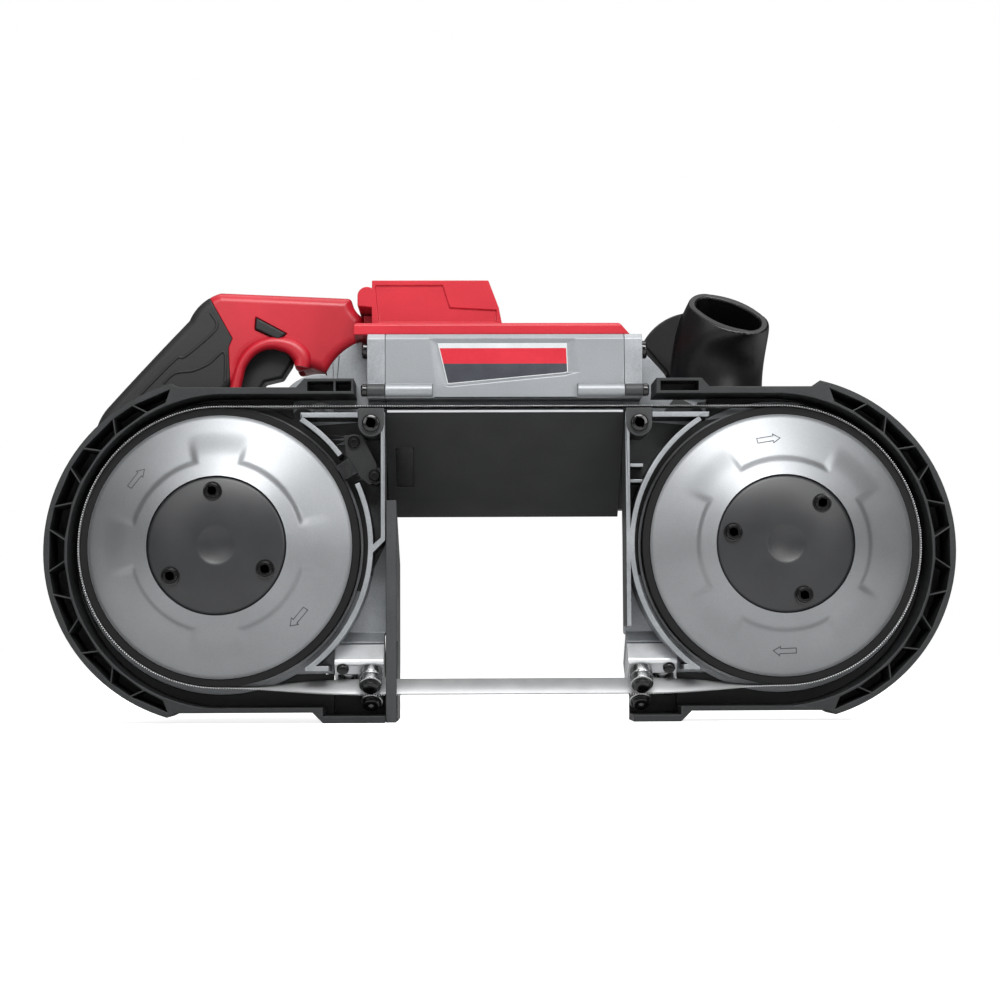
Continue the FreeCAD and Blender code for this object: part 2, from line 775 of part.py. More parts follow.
def make_frame(side, throat, face):
    """One end casting. The throat side is towards the middle, whichever end it is."""
    wheel = (side * half_spacing, wheel_height)
    low, high, guide_x = guides[side]

    def wall(inset0, inset1, y0, y1, z0, z1):
        x0, x1 = throat + side * inset0, throat + side * inset1
        return box(min(x0, x1), max(x0, x1), y0, y1, z0, z1)

    def web(points, y0, y1):
        return side_prism([(throat + side * inset, z) for inset, z in points], y0, y1)

    def rib(start, end):
        return arc_wall(wheel, rib_radius, rib_radius + rib_thickness, start, end, rib_front, plate_front)

    rib_top = top_run - 4
    reach = half_spacing - abs(throat)
    start, end, hook_start, hook_end = rib_spans[side]
    plate = rod(Vector(wheel[0], plate_front, wheel[1]), BACK, plate_radius, plate_thickness)
    lowest = guard_sole + sole_wall + seat_gap
    highest = top_run + guard_top_gap - seat_gap
    plate = plate.common(box(-2 * half_spacing, 2 * half_spacing, plate_front, plate_back, lowest, highest))
    pieces = [
        web(
            [
                (reach - 20, rib_top),
                (0, rib_top),
                (0, blade_height + 30),
                (29, blade_height + 6),
                (reach - 20, 2 * blade_height),
            ],
            plate_front,
            plate_back,
        ),
        wall(0, 2.5, rib_front, plate_back, wheel_height + 4 if side < 0 else blade_height + 34, rib_top),
        wall(0, 48, rib_front, plate_front, rib_top - rib_thickness, rib_top),
        wall(hook_start, hook_end, rib_front, plate_front, hook_height, hook_height + rib_thickness),
        end_prism(bridge_outline, min(throat + side * seat_gap, face), max(throat + side * seat_gap, face)),
        slant_box(low, high, -guide_half, guide_half, guide_top + seat_gap, guide_top + guide_lug),
        rod(
            Vector(throat + side * tab_screw_inset, tab_front, top_run - tab_screw_drop),
            BACK,
            tab_boss,
            plate_front + 1 - tab_front,
        ),
        wall(
            tab_screw_inset - tab_boss,
            tab_screw_inset + tab_boss,
            tab_front,
            plate_front + 1,
            top_run - tab_screw_drop,
            rib_top + tab_ledge,
        ),
    ]
    if side < 0:
        pieces.append(rib(start, brush_gap[0]))
        pieces.append(rib(brush_gap[1], end))
        corner = [(0, wheel_height + 7), (0, wheel_height + 3), (9, wheel_height - 6), (11, wheel_height - 3)]
        pieces.append(web(corner, rib_front, plate_front))
        for angle in brush_screw_angles:
            x, z = polar(wheel, brush_screw_circle, angle)
            pieces.append(rod(Vector(x, 0, z), BACK, brush_boss, plate_front + 1))
    else:
        pieces.append(rib(start, end))
        for rise in (36.0, 45.0):
            height = wheel_height + rise
            pieces.append(wall(0, 22 - rise / 4, -2, plate_front, height, height + 2))
    pieces.append(
        rod(
            Vector(throat + side * seat_gap, *lower_screw),
            ACROSS * side,
            lower_boss,
            abs(face - throat) - seat_gap,
        )
    )
    throat_room = wall(0, -half_spacing, -half_spacing, half_spacing, 0, 2 * half_spacing)
    frame = joined(plate, *pieces).cut(throat_room)
    envelope = slant_box(low - 1, high + 1, -guide_half - 1, guide_half + 1, -14, guide_top + seat_gap)
    frame = frame.cut(envelope)
    room_start = Vector(wheel[0], rib_front - 1, wheel[1])
    frame = frame.cut(rod(room_start, BACK, rib_radius, plate_front - rib_front + 1))
    for across in (-guide_screw_across, guide_screw_across):
        seat = slant(guide_x + side * guide_screw_step, across, guide_top)
        frame = frame.cut(rod(seat, up_axis, small_screw_shank + running_fit, guide_lug - 1))
    tab = Vector(throat + side * tab_screw_inset, tab_front, top_run - tab_screw_drop)
    frame = frame.cut(rod(tab, BACK, frame_screw_shank + running_fit, tab_screw_length + 4))
    for y, z in (upper_screw, lower_screw):
        start = Vector(face + side, y, z)
        frame = frame.cut(rod(start, ACROSS * -side, frame_screw_shank + running_fit, end_wall + 2))
    return frame


shoe_screw_heights = (wheel_height - 45, wheel_height - 5)
shoe_screw_depth = (plate_front + plate_back) / 2
shoe_screw_length = 12.0
brush_screw_length = 10.0
rear_frame = make_frame(-1, rear_throat, rear_wall_face)
rear_frame = rear_frame.cut(
    rod(shaft_point(spindle, plate_front - 1), BACK, idler_bearing_radius + running_fit, plate_thickness + 2)
)
rear_frame = rear_frame.cut(
    rod(motor_point(rear_wall_face - 1), ACROSS, rotor_bearing_radius + running_fit, end_wall + 2)
)
for angle in brush_screw_angles:
    px, pz = polar(spindle, brush_screw_circle, angle)
    hole = rod(Vector(px, -1, pz), BACK, small_screw_shank + running_fit, brush_screw_length + 1)
    rear_frame = rear_frame.cut(hole)
for height in shoe_screw_heights:
    start = Vector(rear_throat - shoe_screw_length, shoe_screw_depth, height)
    hole = rod(start, ACROSS, small_screw_shank + running_fit, shoe_screw_length + 1)
    rear_frame = rear_frame.cut(hole)

# Front frame: adds the tension window, the arm that carries the front handle and the lever's pivot.
arm_top = slot_roof + 6
arm_front = handle_front + 3
arm_back = handle_back - 7
lever_radius = 14.0
lever_throw = 4.0
lever_pivot_x = idler_x - carriage_half - keeper_lap - body_gap - lever_radius - lever_throw
lever_hub_front = plate_back + body_gap
lever_arm_front = keeper_front + keeper + 1.5
lever_arm_width = 7.0
lever_pin = 5.0
handle_bolt_x = idler_x - 32
handle_bolt_depth = (arm_front + arm_back) / 2
front_frame = make_frame(1, front_throat, front_wall_face)
arm = side_prism(
    [
        (front_wall_face - 1, bridge_top - 2),
        (front_wall_face + 2.5, bridge_top - 2),
        (front_wall_face + 16.5, bridge_top - 17.5),
        (front_wall_face + 24, arm_top),
        (idler_x - 10, arm_top),
        (idler_x - 10, arm_top - 12),
        (front_wall_face + 40, arm_top - 36),
        (front_wall_face - 1, arm_top - 30),
    ],
    arm_front,
    arm_back,
)
arm_rib = box(idler_x - 44, idler_x - 38, plate_back - 1, arm_front + 1, top_run - 20, arm_top - 6)
lever_back = lever_arm_front + lever_arm_width
pivot_start = Vector(lever_pivot_x, plate_back - 1, wheel_height)
pivot = rod(pivot_start, BACK, lever_pin, lever_back - plate_back + 1)
front_frame = joined(front_frame, arm, arm_rib, pivot)
window = box(
    idler_x - carriage_half - tension_travel - body_gap,
    idler_x + carriage_half + body_gap,
    plate_front - 1,
    plate_back + 1,
    wheel_height - carriage_height / 2 - body_gap,
    wheel_height + carriage_height / 2 + body_gap,
)
front_frame = front_frame.cut(window)
bolt_grip = 24.0
bolt_seat = Vector(handle_bolt_x, handle_bolt_depth, arm_top - bolt_grip)
front_frame = front_frame.cut(rod(bolt_seat, UP, handle_bolt_shank + running_fit, bolt_grip + 1))
front_frame = front_frame.cut(rod(bolt_seat, UP * -1, handle_bolt_head + seat_gap, bolt_grip))
lever_thread = rod(pivot_start, BACK, frame_screw_shank + running_fit, lever_back)
front_frame = front_frame.cut(lever_thread.common(box(0, half_spacing, plate_back, bridge_back, 0, top_run)))
save("rear_frame", rear_frame)
save("front_frame", front_frame)

# Screws of the frames: two tab screws beside the throat, and the pair that holds the tyre brush.
frame_screws = []
for side, throat in ((-1, rear_throat), (1, front_throat)):
    seat = Vector(throat + side * tab_screw_inset, tab_front, top_run - tab_screw_drop)
    frame_screws.append(
        screw(seat, BACK, frame_screw_head, frame_screw_height, frame_screw_shank, tab_screw_length)
    )
brush_plate = 3.0
for angle in brush_screw_angles:
    px, pz = polar(spindle, brush_screw_circle, angle)
    seat = Vector(px, -brush_plate - seat_gap, pz)
    frame_screws.append(
        screw(seat, BACK, brush_screw_head, small_screw_height, small_screw_shank, brush_screw_length)
    )
save("frame_screws", *frame_screws)

# Tyre brush: a moulded holder with a tuft of bristles that wipes the drive tyre.
holder_points = [
    polar(spindle, brush_screw_circle + 6, 38.2),
    polar(spindle, brush_screw_circle - 2, 42.2),
    polar(spindle, tyre_radius + 9, 36.5),
    polar(spindle, tyre_radius + 9, 26.5),
    polar(spindle, brush_screw_circle - 5, 22.5),
    polar(spindle, brush_screw_circle + 1, 22.5),
    polar(spindle, brush_screw_circle + 4, 28.0),
]
holder = side_prism(holder_points, -brush_plate - seat_gap, -seat_gap)
for angle in brush_screw_angles:
    px, pz = polar(spindle, brush_screw_circle, angle)
    hole = rod(Vector(px, -brush_screw_length, pz), BACK, small_screw_shank + running_fit, brush_screw_length)
    holder = holder.cut(hole)
save("tyre_brush_holder", holder)
brush = arc_wall(spindle, tyre_radius + body_gap, tyre_radius + 9.5, 28, 35, -6.0, 4.0)
save("tyre_brush", brush.cut(holder))


# Bridge: a cast housing over the upper blade run that holds the motor and the electronics.
board_bottom = motor_height + motor_radius + 4
bridge = end_prism(bridge_outline, rear_throat, front_throat)
recess_left = rear_throat + 27
recess_right = front_throat - 30
recess_top = bridge_top - 4
recess_depth = 1.5
recess_slope = 2.4


def recess_ring(grow, y):
    corners = [
        Vector(x, y, z)
        for x, z in (
            (recess_left - grow, recess_top + grow / 2),
            (recess_right + grow, recess_top + grow / 2),
            (recess_right + 0.7 + grow, recess_top - 18.5),
            (recess_right - 4, recess_top - 19.7 - grow / 4),
            (recess_left + 10, recess_top - 26 - grow / 4),
            (recess_left + 5.5 - grow, recess_top - 25.4),
        )
    ]
    return Part.makePolygon(corners + corners[:1])


recess = Part.makeLoft(
    [
        recess_ring(-recess_slope, bridge_front + recess_depth),
        recess_ring(3 * recess_slope, bridge_front - recess_depth),
    ],
    True,
    True,
)
boss_length = 27.0
bosses = [
    rod(Vector(start, *lower_screw), ACROSS, lower_boss, boss_length)
    for start in (rear_throat, front_throat - boss_length)
]
bridge = joined(bridge, *bosses).cut(recess)
motor_room = rotor_end - rotor_bearing_width - rear_throat
bridge = bridge.cut(rod(motor_point(rear_throat - 1), ACROSS, motor_radius, motor_room))
bearing_room = rotor_end + 1 - rear_throat
bridge = bridge.cut(rod(motor_point(rear_throat), ACROSS, rotor_bearing_radius + running_fit, bearing_room))
board_left = rear_throat + 24
board_right = front_throat - 34
board_front = slot_depth + 10
board_back = bridge_back - 12
board_margin = 2.0
board_room = box(
    board_left - board_margin,
    board_right + board_margin,
    board_front - board_margin,
    board_back + board_margin,
    board_bottom - 1,
    bridge_top - 4,
)
bridge = bridge.cut(board_room)
bridge_screw_length = end_wall + 14
for side, face in ((-1, rear_throat), (1, front_throat)):
    for y, z in (upper_screw, lower_screw):
        start = Vector(face + side, y, z)
        bridge = bridge.cut(rod(start, ACROSS * -side, frame_screw_shank + running_fit, bridge_screw_length))
save("bridge_housing", bridge)
bridge_screws = []
for side, face in ((-1, rear_wall_face), (1, front_wall_face)):
    for place, head in ((upper_screw, bridge_screw_head), (lower_screw, lower_screw_head)):
        seat = Vector(face, *place)
        inward = ACROSS * -side
        bridge_screws.append(
            screw(seat, inward, head, bridge_screw_height, frame_screw_shank, bridge_screw_length)
        )
save("bridge_screws", *bridge_screws)
board_top = board_bottom + 0.7
board = box(board_left, board_right, board_front, board_back, board_bottom - 0.9, board_top)
can_radius = 5.0
can_height = 5.3
chip_width = 9.0
chip_depth = 12.0
chip_height = 3.0
board_pitch = 13.5
cans = []
for number in range(3):
    can_x = board_left + 2 * can_radius + board_pitch * number
    cans.append(rod(Vector(can_x, board_front + 2 * can_radius, board_top - 0.2), UP, can_radius, can_height))
chips = []
for number in range(4):
    chip = box(0, chip_width, 0, chip_depth, -0.2, chip_height)
    chip.translate(Vector(board_left + 6 + board_pitch * number, motor_depth, board_top))
    chips.append(chip)
save("control_board", joined(board, *cans, *chips))

# Throat liner: a dark plate across the cut, square to the feed, with a work light near its rear end.
liner_inner = ceiling_sum + liner_thickness * math.sqrt(2)
liner = end_prism(
    [
        (bridge_front, slot_floor),
        (slot_depth - seat_gap, slot_floor),
        (slot_depth - seat_gap, liner_inner - slot_depth + seat_gap),
        (throat_back, liner_inner - throat_back),
        (throat_back, ceiling_sum - throat_back),
    ],
    rear_throat + seat_gap,
    front_throat - seat_gap,
)
light_left = rear_throat + 5
light_width = 10.3
light_start = 28.0
light_length = 30.0
light_recess = 2.2
lens_thickness = 1.5


def slope_prism(x0, x1, along0, along1, depth0, depth1):
    """A box on the throat liner: along its slope from the front edge, and into its thickness."""
    root = math.sqrt(0.5)
    points = [
        (bridge_front + (along + depth) * root, slot_floor - (along - depth) * root)
        for along, depth in ((along0, depth0), (along1, depth0), (along1, depth1), (along0, depth1))
    ]
    return end_prism(points, x0, x1)


light_end = light_start + light_length
liner = liner.cut(slope_prism(light_left, light_left + light_width, light_start, light_end, -1, light_recess))
save("throat_liner", liner)
lens = slope_prism(
    light_left + seat_gap,
    light_left + light_width - seat_gap,
    light_start + seat_gap,
    light_end - seat_gap,
    light_recess - seat_gap - lens_thickness,
    light_recess - seat_gap,
)
lens_edges = [edge for edge in lens.Edges if abs(edge.Length - lens_thickness) < 0.01]
save("work_light_lens", lens.makeFillet(lens_thickness, lens_edges))


# Gear case: a casting behind the drive wheel, with a cover, round the gears and their bearings.
gear_room = 1.2
final_room = final_gear_radius + addendum * final_module + gear_room
first_room = first_gear_radius + addendum * first_module + gear_room
bevel_room = bevel_gear_radius + bevel_module + gear_room


def case_form(grow, y0, y1):
    lower = belt(spindle, final_room + grow, second_shaft, first_room + grow, y0, y1)
    upper = belt(second_shaft, first_room + grow, first_shaft, bevel_room + grow, y0, y1)
    return lower.fuse(upper)


neck = side_prism(
    [
        (case_side, bridge_top - 1),
        (case_side - 6, bridge_top - 1),
        ((case_side - 17, bridge_top - 8), (case_side - 25, bridge_top - 19)),
        (first_shaft[0], motor_height - bevel_room),
        (case_side, motor_height - bevel_room),
    ],
    case_front,
    cover_front,
)
case_outside = case_form(case_wall, case_front, cover_front).fuse(neck)
case_body = case_outside
case_body = case_body.cut(case_form(0, case_front + case_wall, cover_front + 1))
neck_bore = rotor_bearing_radius + 1
case_body = case_body.cut(rod(motor_point(case_side + 1), ACROSS * -1, neck_bore, 25))
spindle_hole = rod(shaft_point(spindle, case_front - 1), BACK, idler_bearing_radius, case_wall + 2)
case_body = case_body.cut(spindle_hole)
case_cover = case_form(case_wall, cover_front + seat_gap / 2, case_back)
layshaft_bearing = 9.0
bearings = [
    ring(
        shaft_point(spindle, plate_front),
        BACK,
        spindle_radius + running_fit,
        idler_bearing_radius,
        plate_thickness,
    )
]
for centre, bore, outer in (
    (spindle, spindle_radius, idler_bearing_radius),
    (first_shaft, layshaft_radius, layshaft_bearing),
    (second_shaft, layshaft_radius, layshaft_bearing),
):
    hole = rod(shaft_point(centre, cover_front - 1), BACK, outer + running_fit, bearing_pocket + 1)
    case_cover = case_cover.cut(hole)
    bearings.append(ring(shaft_point(centre, cover_front), BACK, bore + running_fit, outer, bearing_pocket))
    if centre != spindle:
        hole = rod(shaft_point(centre, case_front - 1), BACK, outer + running_fit, case_wall + 2)
        case_body = case_body.cut(hole)
        bearings.append(ring(shaft_point(centre, case_front), BACK, bore + running_fit, outer, case_wall))
for start in rotor_bearing_starts:
    bearings.append(
        ring(
            motor_point(start),
            ACROSS,
            rotor_shaft_radius + running_fit,
            rotor_bearing_radius,
            rotor_bearing_width,
        )
    )
save("gear_case", case_body.removeSplitter())
save("gear_case_cover", case_cover.removeSplitter())
save("ball_bearings", *bearings)


# Guards: plastic channels round the outer half of each wheel, stiffened by a crescent of open cells.
guard_centre = wheel_height - guard_drop
guard_top = top_run + guard_top_gap + guard_wall
rim_drop = 0.4
rim_centre = guard_centre - rim_drop
pad_rise = 5.0
pad_wall = 1.7
pocket_depth = 14.0
cell_span = 72.0
cell_slant = 1.45
cell_web = 1.3
shoulder_ramp = 5.0
sole_shoulder = 28.0
foot_wall = 3.0
foot_wall_gap = 0.85
foot_cross_wall = 2.0
foot_web_rise = 7.3


def make_guard(side, top_reach, top_shoulder, foot_end, pad_length, pockets):
    wheel = (side * half_spacing, guard_centre)
    guide_end = max(abs(guides[side][0]), abs(guides[side][1]))

    def at(out, z):
        return (side * (half_spacing + out), z)

    def slab(out0, out1, y0, y1, z0, z1):
        x0, x1 = at(out0, 0)[0], at(out1, 0)[0]
        return box(min(x0, x1), max(x0, x1), y0, y1, z0, z1)

    def rim_rise(out):
        return math.sqrt(guard_radius**2 - out**2)

    foot_start = -half_spacing / 3
    block = side_prism(
        [
            at(top_reach, guard_top),
            at(top_shoulder - shoulder_ramp, guard_top),
            at(top_shoulder, guard_centre + rim_rise(top_shoulder)),
            (at(guard_radius, guard_centre), at(sole_shoulder, guard_centre - rim_rise(sole_shoulder))),
            at(sole_shoulder - shoulder_ramp, guard_sole),
            at(foot_start, guard_sole),
            at(foot_start - guard_sole, 0),
            at(foot_end, 0),
            at(foot_end, wheel_height / 2),
        ],
        guard_front,
        plate_back,
    )
    pad = side_prism(
        [
            at(top_reach, guard_top - guard_wall),
            at(top_reach, guard_top + pad_rise),
            at(top_reach + pad_length - 1.6 * pad_rise, guard_top + pad_rise),
            at(top_reach + pad_length, guard_top - guard_wall),
        ],
        guard_front,
        plate_back,
    )
    block = block.fuse(pad)
    far = -half_spacing
    inner_top = guard_top - guard_wall
    inner_sole = guard_sole + sole_wall
    web_front = plate_front - guard_web
    web_end = -half_spacing / 4
    wall_out = guide_end + foot_wall_gap - half_spacing

    def hollow(radius, centre_out, centre_z, y0, y1):
        x = at(centre_out, 0)[0]
        room = rod(Vector(x, y0, centre_z), BACK, radius, y1 - y0)
        room = room.common(slab(-2 * half_spacing, half_spacing, y0, y1, inner_sole, inner_top))
        throat_room = slab(far, 0, y0, y1, inner_sole, inner_top)
        foot_room = slab(far, foot_start - guard_sole, y0, y1, foot_thickness, inner_sole + 1)
        return room.multiFuse([throat_room, foot_room])

    block = block.cut(hollow(rim_radius, -guard_crescent, rim_centre, guard_front - 1, web_front))
    block = block.cut(hollow(plate_radius + seat_gap, 0, wheel_height, plate_front, plate_back + 1))
    opening = rod(Vector(wheel[0], web_front - 1, wheel_height), BACK, rib_radius, guard_web + 2)
    block = block.cut(opening)
    block = block.cut(slab(far, wall_out, web_front - 1, plate_back, foot_thickness, inner_top))
    foot_web_top = blade_height + foot_web_rise
    block = block.cut(slab(wall_out, web_end, web_front - 1, plate_back, foot_web_top, inner_top))
    # A low wall on the foot passes under the slanted guide and meets the web beside it.
    under_guide = blade_height - (guide_half + foot_wall_gap) * math.sqrt(2)
    low_wall = end_prism(
        [
            (plate_back - foot_wall, foot_thickness - 1),
            (plate_back, foot_thickness - 1),
            (plate_back, plate_back + under_guide),
            (plate_back - foot_wall, plate_back - foot_wall + under_guide),
        ],
        at(foot_end, 0)[0],
        at(wall_out + foot_cross_wall, 0)[0],
    )
    cross_wall = slab(
        wall_out,
        wall_out + foot_cross_wall,
        web_front,
        plate_back,
        foot_thickness - 1,
        plate_back + under_guide,
    )
    block = block.multiFuse([low_wall, cross_wall])
    # Open cells between the outer wall and the inner rim, with webs that lean to and fro.
    cells = []
    outer_edge = guard_radius - cell_wall
    inner_edge = rim_radius + guard_inner_wall
    pitch = 2 * cell_span / guard_cells
    facing = 180 if side < 0 else 0

    def rim_reach(angle):
        outward, upward = polar((0, 0), 1, angle)
        along = -guard_crescent * outward - rim_drop * upward
        aside = guard_crescent * upward - rim_drop * outward
        return math.sqrt(inner_edge**2 - aside**2) + along

    for number in range(guard_cells):
        begin = -cell_span + number * pitch
        lean = cell_slant if number % 2 else -cell_slant
        margin = math.degrees(cell_web / 2 / guard_radius)
        corners = (
            (outer_edge, begin + lean + margin),
            (outer_edge, begin + pitch - lean - margin),
            (rim_reach(begin + pitch), begin + pitch + lean - margin),
            (rim_reach(begin), begin - lean + margin),
        )
        points = [polar(wheel, radius, facing + side * angle) for radius, angle in corners]
        cells.append(side_prism(points, guard_front - 1, web_front - 2))
    block = block.cut(Part.makeCompound(cells))
    for begin, finish in pockets:
        pocket = slab(
            top_reach + begin,
            top_reach + finish,
            guard_front - 1,
            guard_front + pocket_depth,
            guard_top - guard_wall + pad_wall,
            guard_top + pad_rise - pad_wall,
        )
        block = block.cut(pocket)
    return block.removeSplitter()


rear_top_reach = -(half_spacing + rear_throat - 17.7)
front_top_reach = -(half_spacing - front_throat - 17.5)
rear_foot_end = -(half_spacing + rear_throat)
front_foot_end = -(half_spacing - front_throat - 3)
rear_shoulder = 27.0
front_shoulder = 22.0
rear_pockets = ((1.5, 10.0), (11.5, 26.0))
front_pockets = ((2.5, 24.0),)
save("rear_guard", make_guard(-1, rear_top_reach, rear_shoulder, rear_foot_end, 36, rear_pockets))
save("front_guard", make_guard(1, front_top_reach, front_shoulder, front_foot_end, 34, front_pockets))


# Rear handle: two moulded halves with a D-shaped loop, a rubber grip over the rear leg, and a broad
# foot along the top of the bridge. Places are counted back and up from the corner of the bridge.
def at_handle(back, rise):
    return (rear_wall_face - back, bridge_top + rise)


def handle_path(steps):
    """Turns (back, rise) steps into an outline; a pair of steps stays an arc."""
    path = []
    for step in steps:
        if isinstance(step[0], tuple):
            path.append(tuple(at_handle(*point) for point in step))
        else:
            path.append(at_handle(*step))
    return path


def rounded_prism(points, y0, y1, corner, rim):
    """A side prism with its corners rounded, and then its two rims."""
    body = side_prism(points, y0, y1)
    corners = [edge for edge in body.Edges if edge.BoundBox.YLength > rim]
    body = body.makeFillet(corner, corners)
    rims = [edge for edge in body.Edges if edge.BoundBox.YLength < seat_gap]
    return body.makeFillet(rim, rims)


corner_rounding = 2.5
handle_rounding = 6.0
handle_loop = handle_path(
    [
        (4.0, 16.0),
        ((8.6, 20.0), (11.3, 27.6)),
        (88.7, 31.0),
        ((98.9, 25.7), (107.2, 14.5)),
        ((132.0, -12.0), (154.9, -37.3)),
        ((162.5, -60.0), (152.0, -82.0)),
        (113.9, -98.8),
        (92.0, -98.8),
        (92.0, -74.0),
        (122.0, -68.0),
        (75.5, -19.8),
        (75.5, -12.8),
        ((59.9, -0.8), (44.3, -15.8)),
        (34.9, -13.8),
        (25.2, -17.2),
        ((15.9, -4.5), (3.0, 0.5)),
    ]
)
handle_body = rounded_prism(handle_loop, handle_front, handle_back, corner_rounding, handle_rounding)
strip_front = bridge_front + 5
strip_back = bridge_back - 2
strip = side_prism(
    [
        at_handle(8.0, seat_gap),
        (front_wall_face - 6.5, bridge_top + seat_gap),
        (front_wall_face - 12.5, bridge_top + top_strip),
        at_handle(8.0, top_strip),
    ],
    strip_front,
    strip_back,
)
strip_edges = [edge for edge in strip.Edges if edge.BoundBox.ZMin > bridge_top + top_strip - seat_gap]
strip = strip.makeFillet(2.0, strip_edges)
gusset = side_prism(
    handle_path([(3.0, 0.5), (4.0, 17.0), (-1.5, 17.0), (-1.5, 0.5)]), handle_front + 2, handle_back - 2
)
case_envelope = case_form(case_wall + seat_gap, case_front - 1, max(case_back, handle_back) + 1).fuse(neck)
handle_body = joined(handle_body, strip, gusset).cut(case_envelope)

# Trigger with the switch behind it, and the cross button that locks it.
trigger_back = 84.0
trigger_top = 0.4
switch_back = 110.0
plunger_radius = 2.1
plunger_rise = -10.0
slot_half = trigger_width / 2 + 0.5
trigger = rounded_prism(
    handle_path(
        [
            (trigger_back, trigger_top),
            (55.0, trigger_top),
            ((47.8, -4.0), (48.5, -12.0)),
            (53.0, -19.0),
            (63.4, -21.5),
            (74.0, -38.0),
            (trigger_back - 2, -40.5),
            (trigger_back, -26.0),
        ]
    ),
    handle_middle - trigger_width / 2,
    handle_middle + trigger_width / 2,
    corner_rounding,
    corner_rounding - 0.5,
)
plunger_x, plunger_z = at_handle(trigger_back, plunger_rise)
plunger_room = trigger_travel + 1.5
trigger = trigger.cut(
    rod(Vector(plunger_x - 1, handle_middle, plunger_z), ACROSS, plunger_radius + body_gap, plunger_room + 1)
)
save("trigger", trigger)
switch_x = at_handle(switch_back, 0)[0]
switch_front = plunger_x - trigger_travel - body_gap
switch_body = box(
    switch_x,
    switch_front,
    handle_middle - trigger_width / 2 + 1,
    handle_middle + trigger_width / 2 - 1,
    plunger_z - 9,
    plunger_z + 7,
)
plunger = rod(
    Vector(switch_front - 1, handle_middle, plunger_z), ACROSS, plunger_radius, plunger_x + 2 - switch_front
)
save("switch_module", joined(switch_body, plunger))


def slot_box(back0, back1, rise0, rise1):
    x0, z0 = at_handle(back0, rise0)
    x1, z1 = at_handle(back1, rise1)
    return box(x0, x1, handle_middle - slot_half, handle_middle + slot_half, z0, z1)


trigger_slot = slot_box(switch_back + seat_gap, 40.0, -24.0, trigger_top + 0.5)
finger_slot = slot_box(trigger_back + trigger_travel + 0.5, 60.0, -41.5, -23.0)
lock_outline = [(67.1, 15.3), (49.8, 6.0), (54.0, 2.2), (67.7, 8.7)]
lock_front = handle_front - lock_travel / 2
lock_button = side_prism(handle_path(lock_outline), lock_front, lock_front + handle_thickness)
lock_rims = [edge for edge in lock_button.Edges if edge.BoundBox.YLength < seat_gap]
save("lock_button", lock_button.makeFillet(1.2, lock_rims))
lock_hole = side_prism(
    handle_path([(67.6, 16.1), (49.2, 6.1), (53.9, 1.8), (68.2, 8.5)]), handle_front - 1, handle_back + 1
)
handle_body = handle_body.cut(trigger_slot).cut(finger_slot).cut(lock_hole)

# The grip is a rubber sleeve, so the halves shrink to a core inside it.
grip_region = side_prism(
    handle_path(
        [
            (96.2, 30.0),
            (81.3, 3.3),
            (83.5, -2.2),
            (82.4, -24.0),
            (86.0, -32.0),
            (70.0, -40.0),
            (110.0, -66.0),
            (138.0, -78.0),
            (175.0, -62.0),
            (175.0, -20.0),
            (120.0, 30.0),
        ]
    ),
    handle_front - 1,
    handle_back + 1,
)
core_region = side_prism(
    handle_path(
        [
            (98.0, 13.0),
            (78.0, 6.0),
            (78.0, -22.0),
            (94.0, -36.0),
            (120.0, -62.0),
            (112.0, -78.0),
            (144.0, -84.0),
            (155.0, -62.0),
            (148.0, -40.0),
            (112.0, 1.0),
        ]
    ),
    handle_middle - grip_core / 2,
    handle_middle + grip_core / 2,
)
grip = handle_body.common(grip_region).cut(core_region)
save("rear_grip", grip)
shells = handle_body.cut(grip)
handle_screw_places = [(18.0, 19.0), (80.0, 21.0), (37.0, -2.0)]
handle_screw_seat = 3.0
handle_screws = []
for place in handle_screw_places:
    px, pz = at_handle(*place)
    seat = Vector(px, handle_back - handle_screw_seat, pz)
    shells = shells.cut(rod(seat, BACK, handle_screw_head + seat_gap, handle_screw_seat + 1))
    shells = shells.cut(rod(seat, BACK * -1, handle_screw_shank + running_fit, handle_screw_length + 1))
    handle_screws.append(
        screw(
            seat, BACK * -1, handle_screw_head, handle_screw_height, handle_screw_shank, handle_screw_length
        )
    )
save("handle_screws", *handle_screws)
shell_span = box(-2 * half_spacing, half_spacing, strip_front - 1, handle_middle, 0, 2 * half_spacing)
save("handle_shell_front", shells.common(shell_span))
save("handle_shell_back", shells.cut(shell_span))

# Battery mount: a socket with two rails along its sides, so that a pack slides on from the back.
mount_bottom = top_strip + seat_gap
mount_front = bridge_front + 16
mount_back = bridge_back - 6
mount_top = battery_mount_height
mount_left = -2.0
mount_right = -69.5
mount_points = [
    (mount_left, mount_bottom),
    (mount_left, 17.6),
    (6.4, 18.6),
    (6.4, mount_top - 8.5),
    ((5.0, mount_top - 5.5), (mount_left, mount_top - 4.5)),
    (mount_left, mount_top),
    (mount_right, mount_top),
    (mount_right - 6.0, mount_top - 16.0),
    (mount_right - 8.0, mount_bottom),
]
battery_mount = side_prism(handle_path(mount_points), mount_front, mount_back)
panel = side_prism(
    handle_path(
        [
            (mount_left - 2, mount_top - 3),
            (mount_left - 41, mount_top - 3),
            (mount_left - 45, mount_top - 16),
            (mount_right - 4.5, mount_top - 17.5),
            (mount_right - 4.5, mount_bottom + 2),
            (mount_left - 4, mount_bottom + 2),
        ]
    ),
    mount_front - 1,
    mount_front + 1.2,
)
pocket_front = mount_front + 46
pocket = side_prism(
    handle_path(
        [
            (mount_left - 10, mount_bottom + 4),
            (mount_right + 10, mount_bottom + 4),
            (mount_right + 10, mount_top + 1),
            (mount_left - 10, mount_top + 1),
        ]
    ),
    pocket_front,
    mount_back + 1,
)
battery_mount = battery_mount.cut(panel).cut(pocket)
save("battery_mount", battery_mount)
terminal_bottom = bridge_top + mount_bottom + 4 + seat_gap
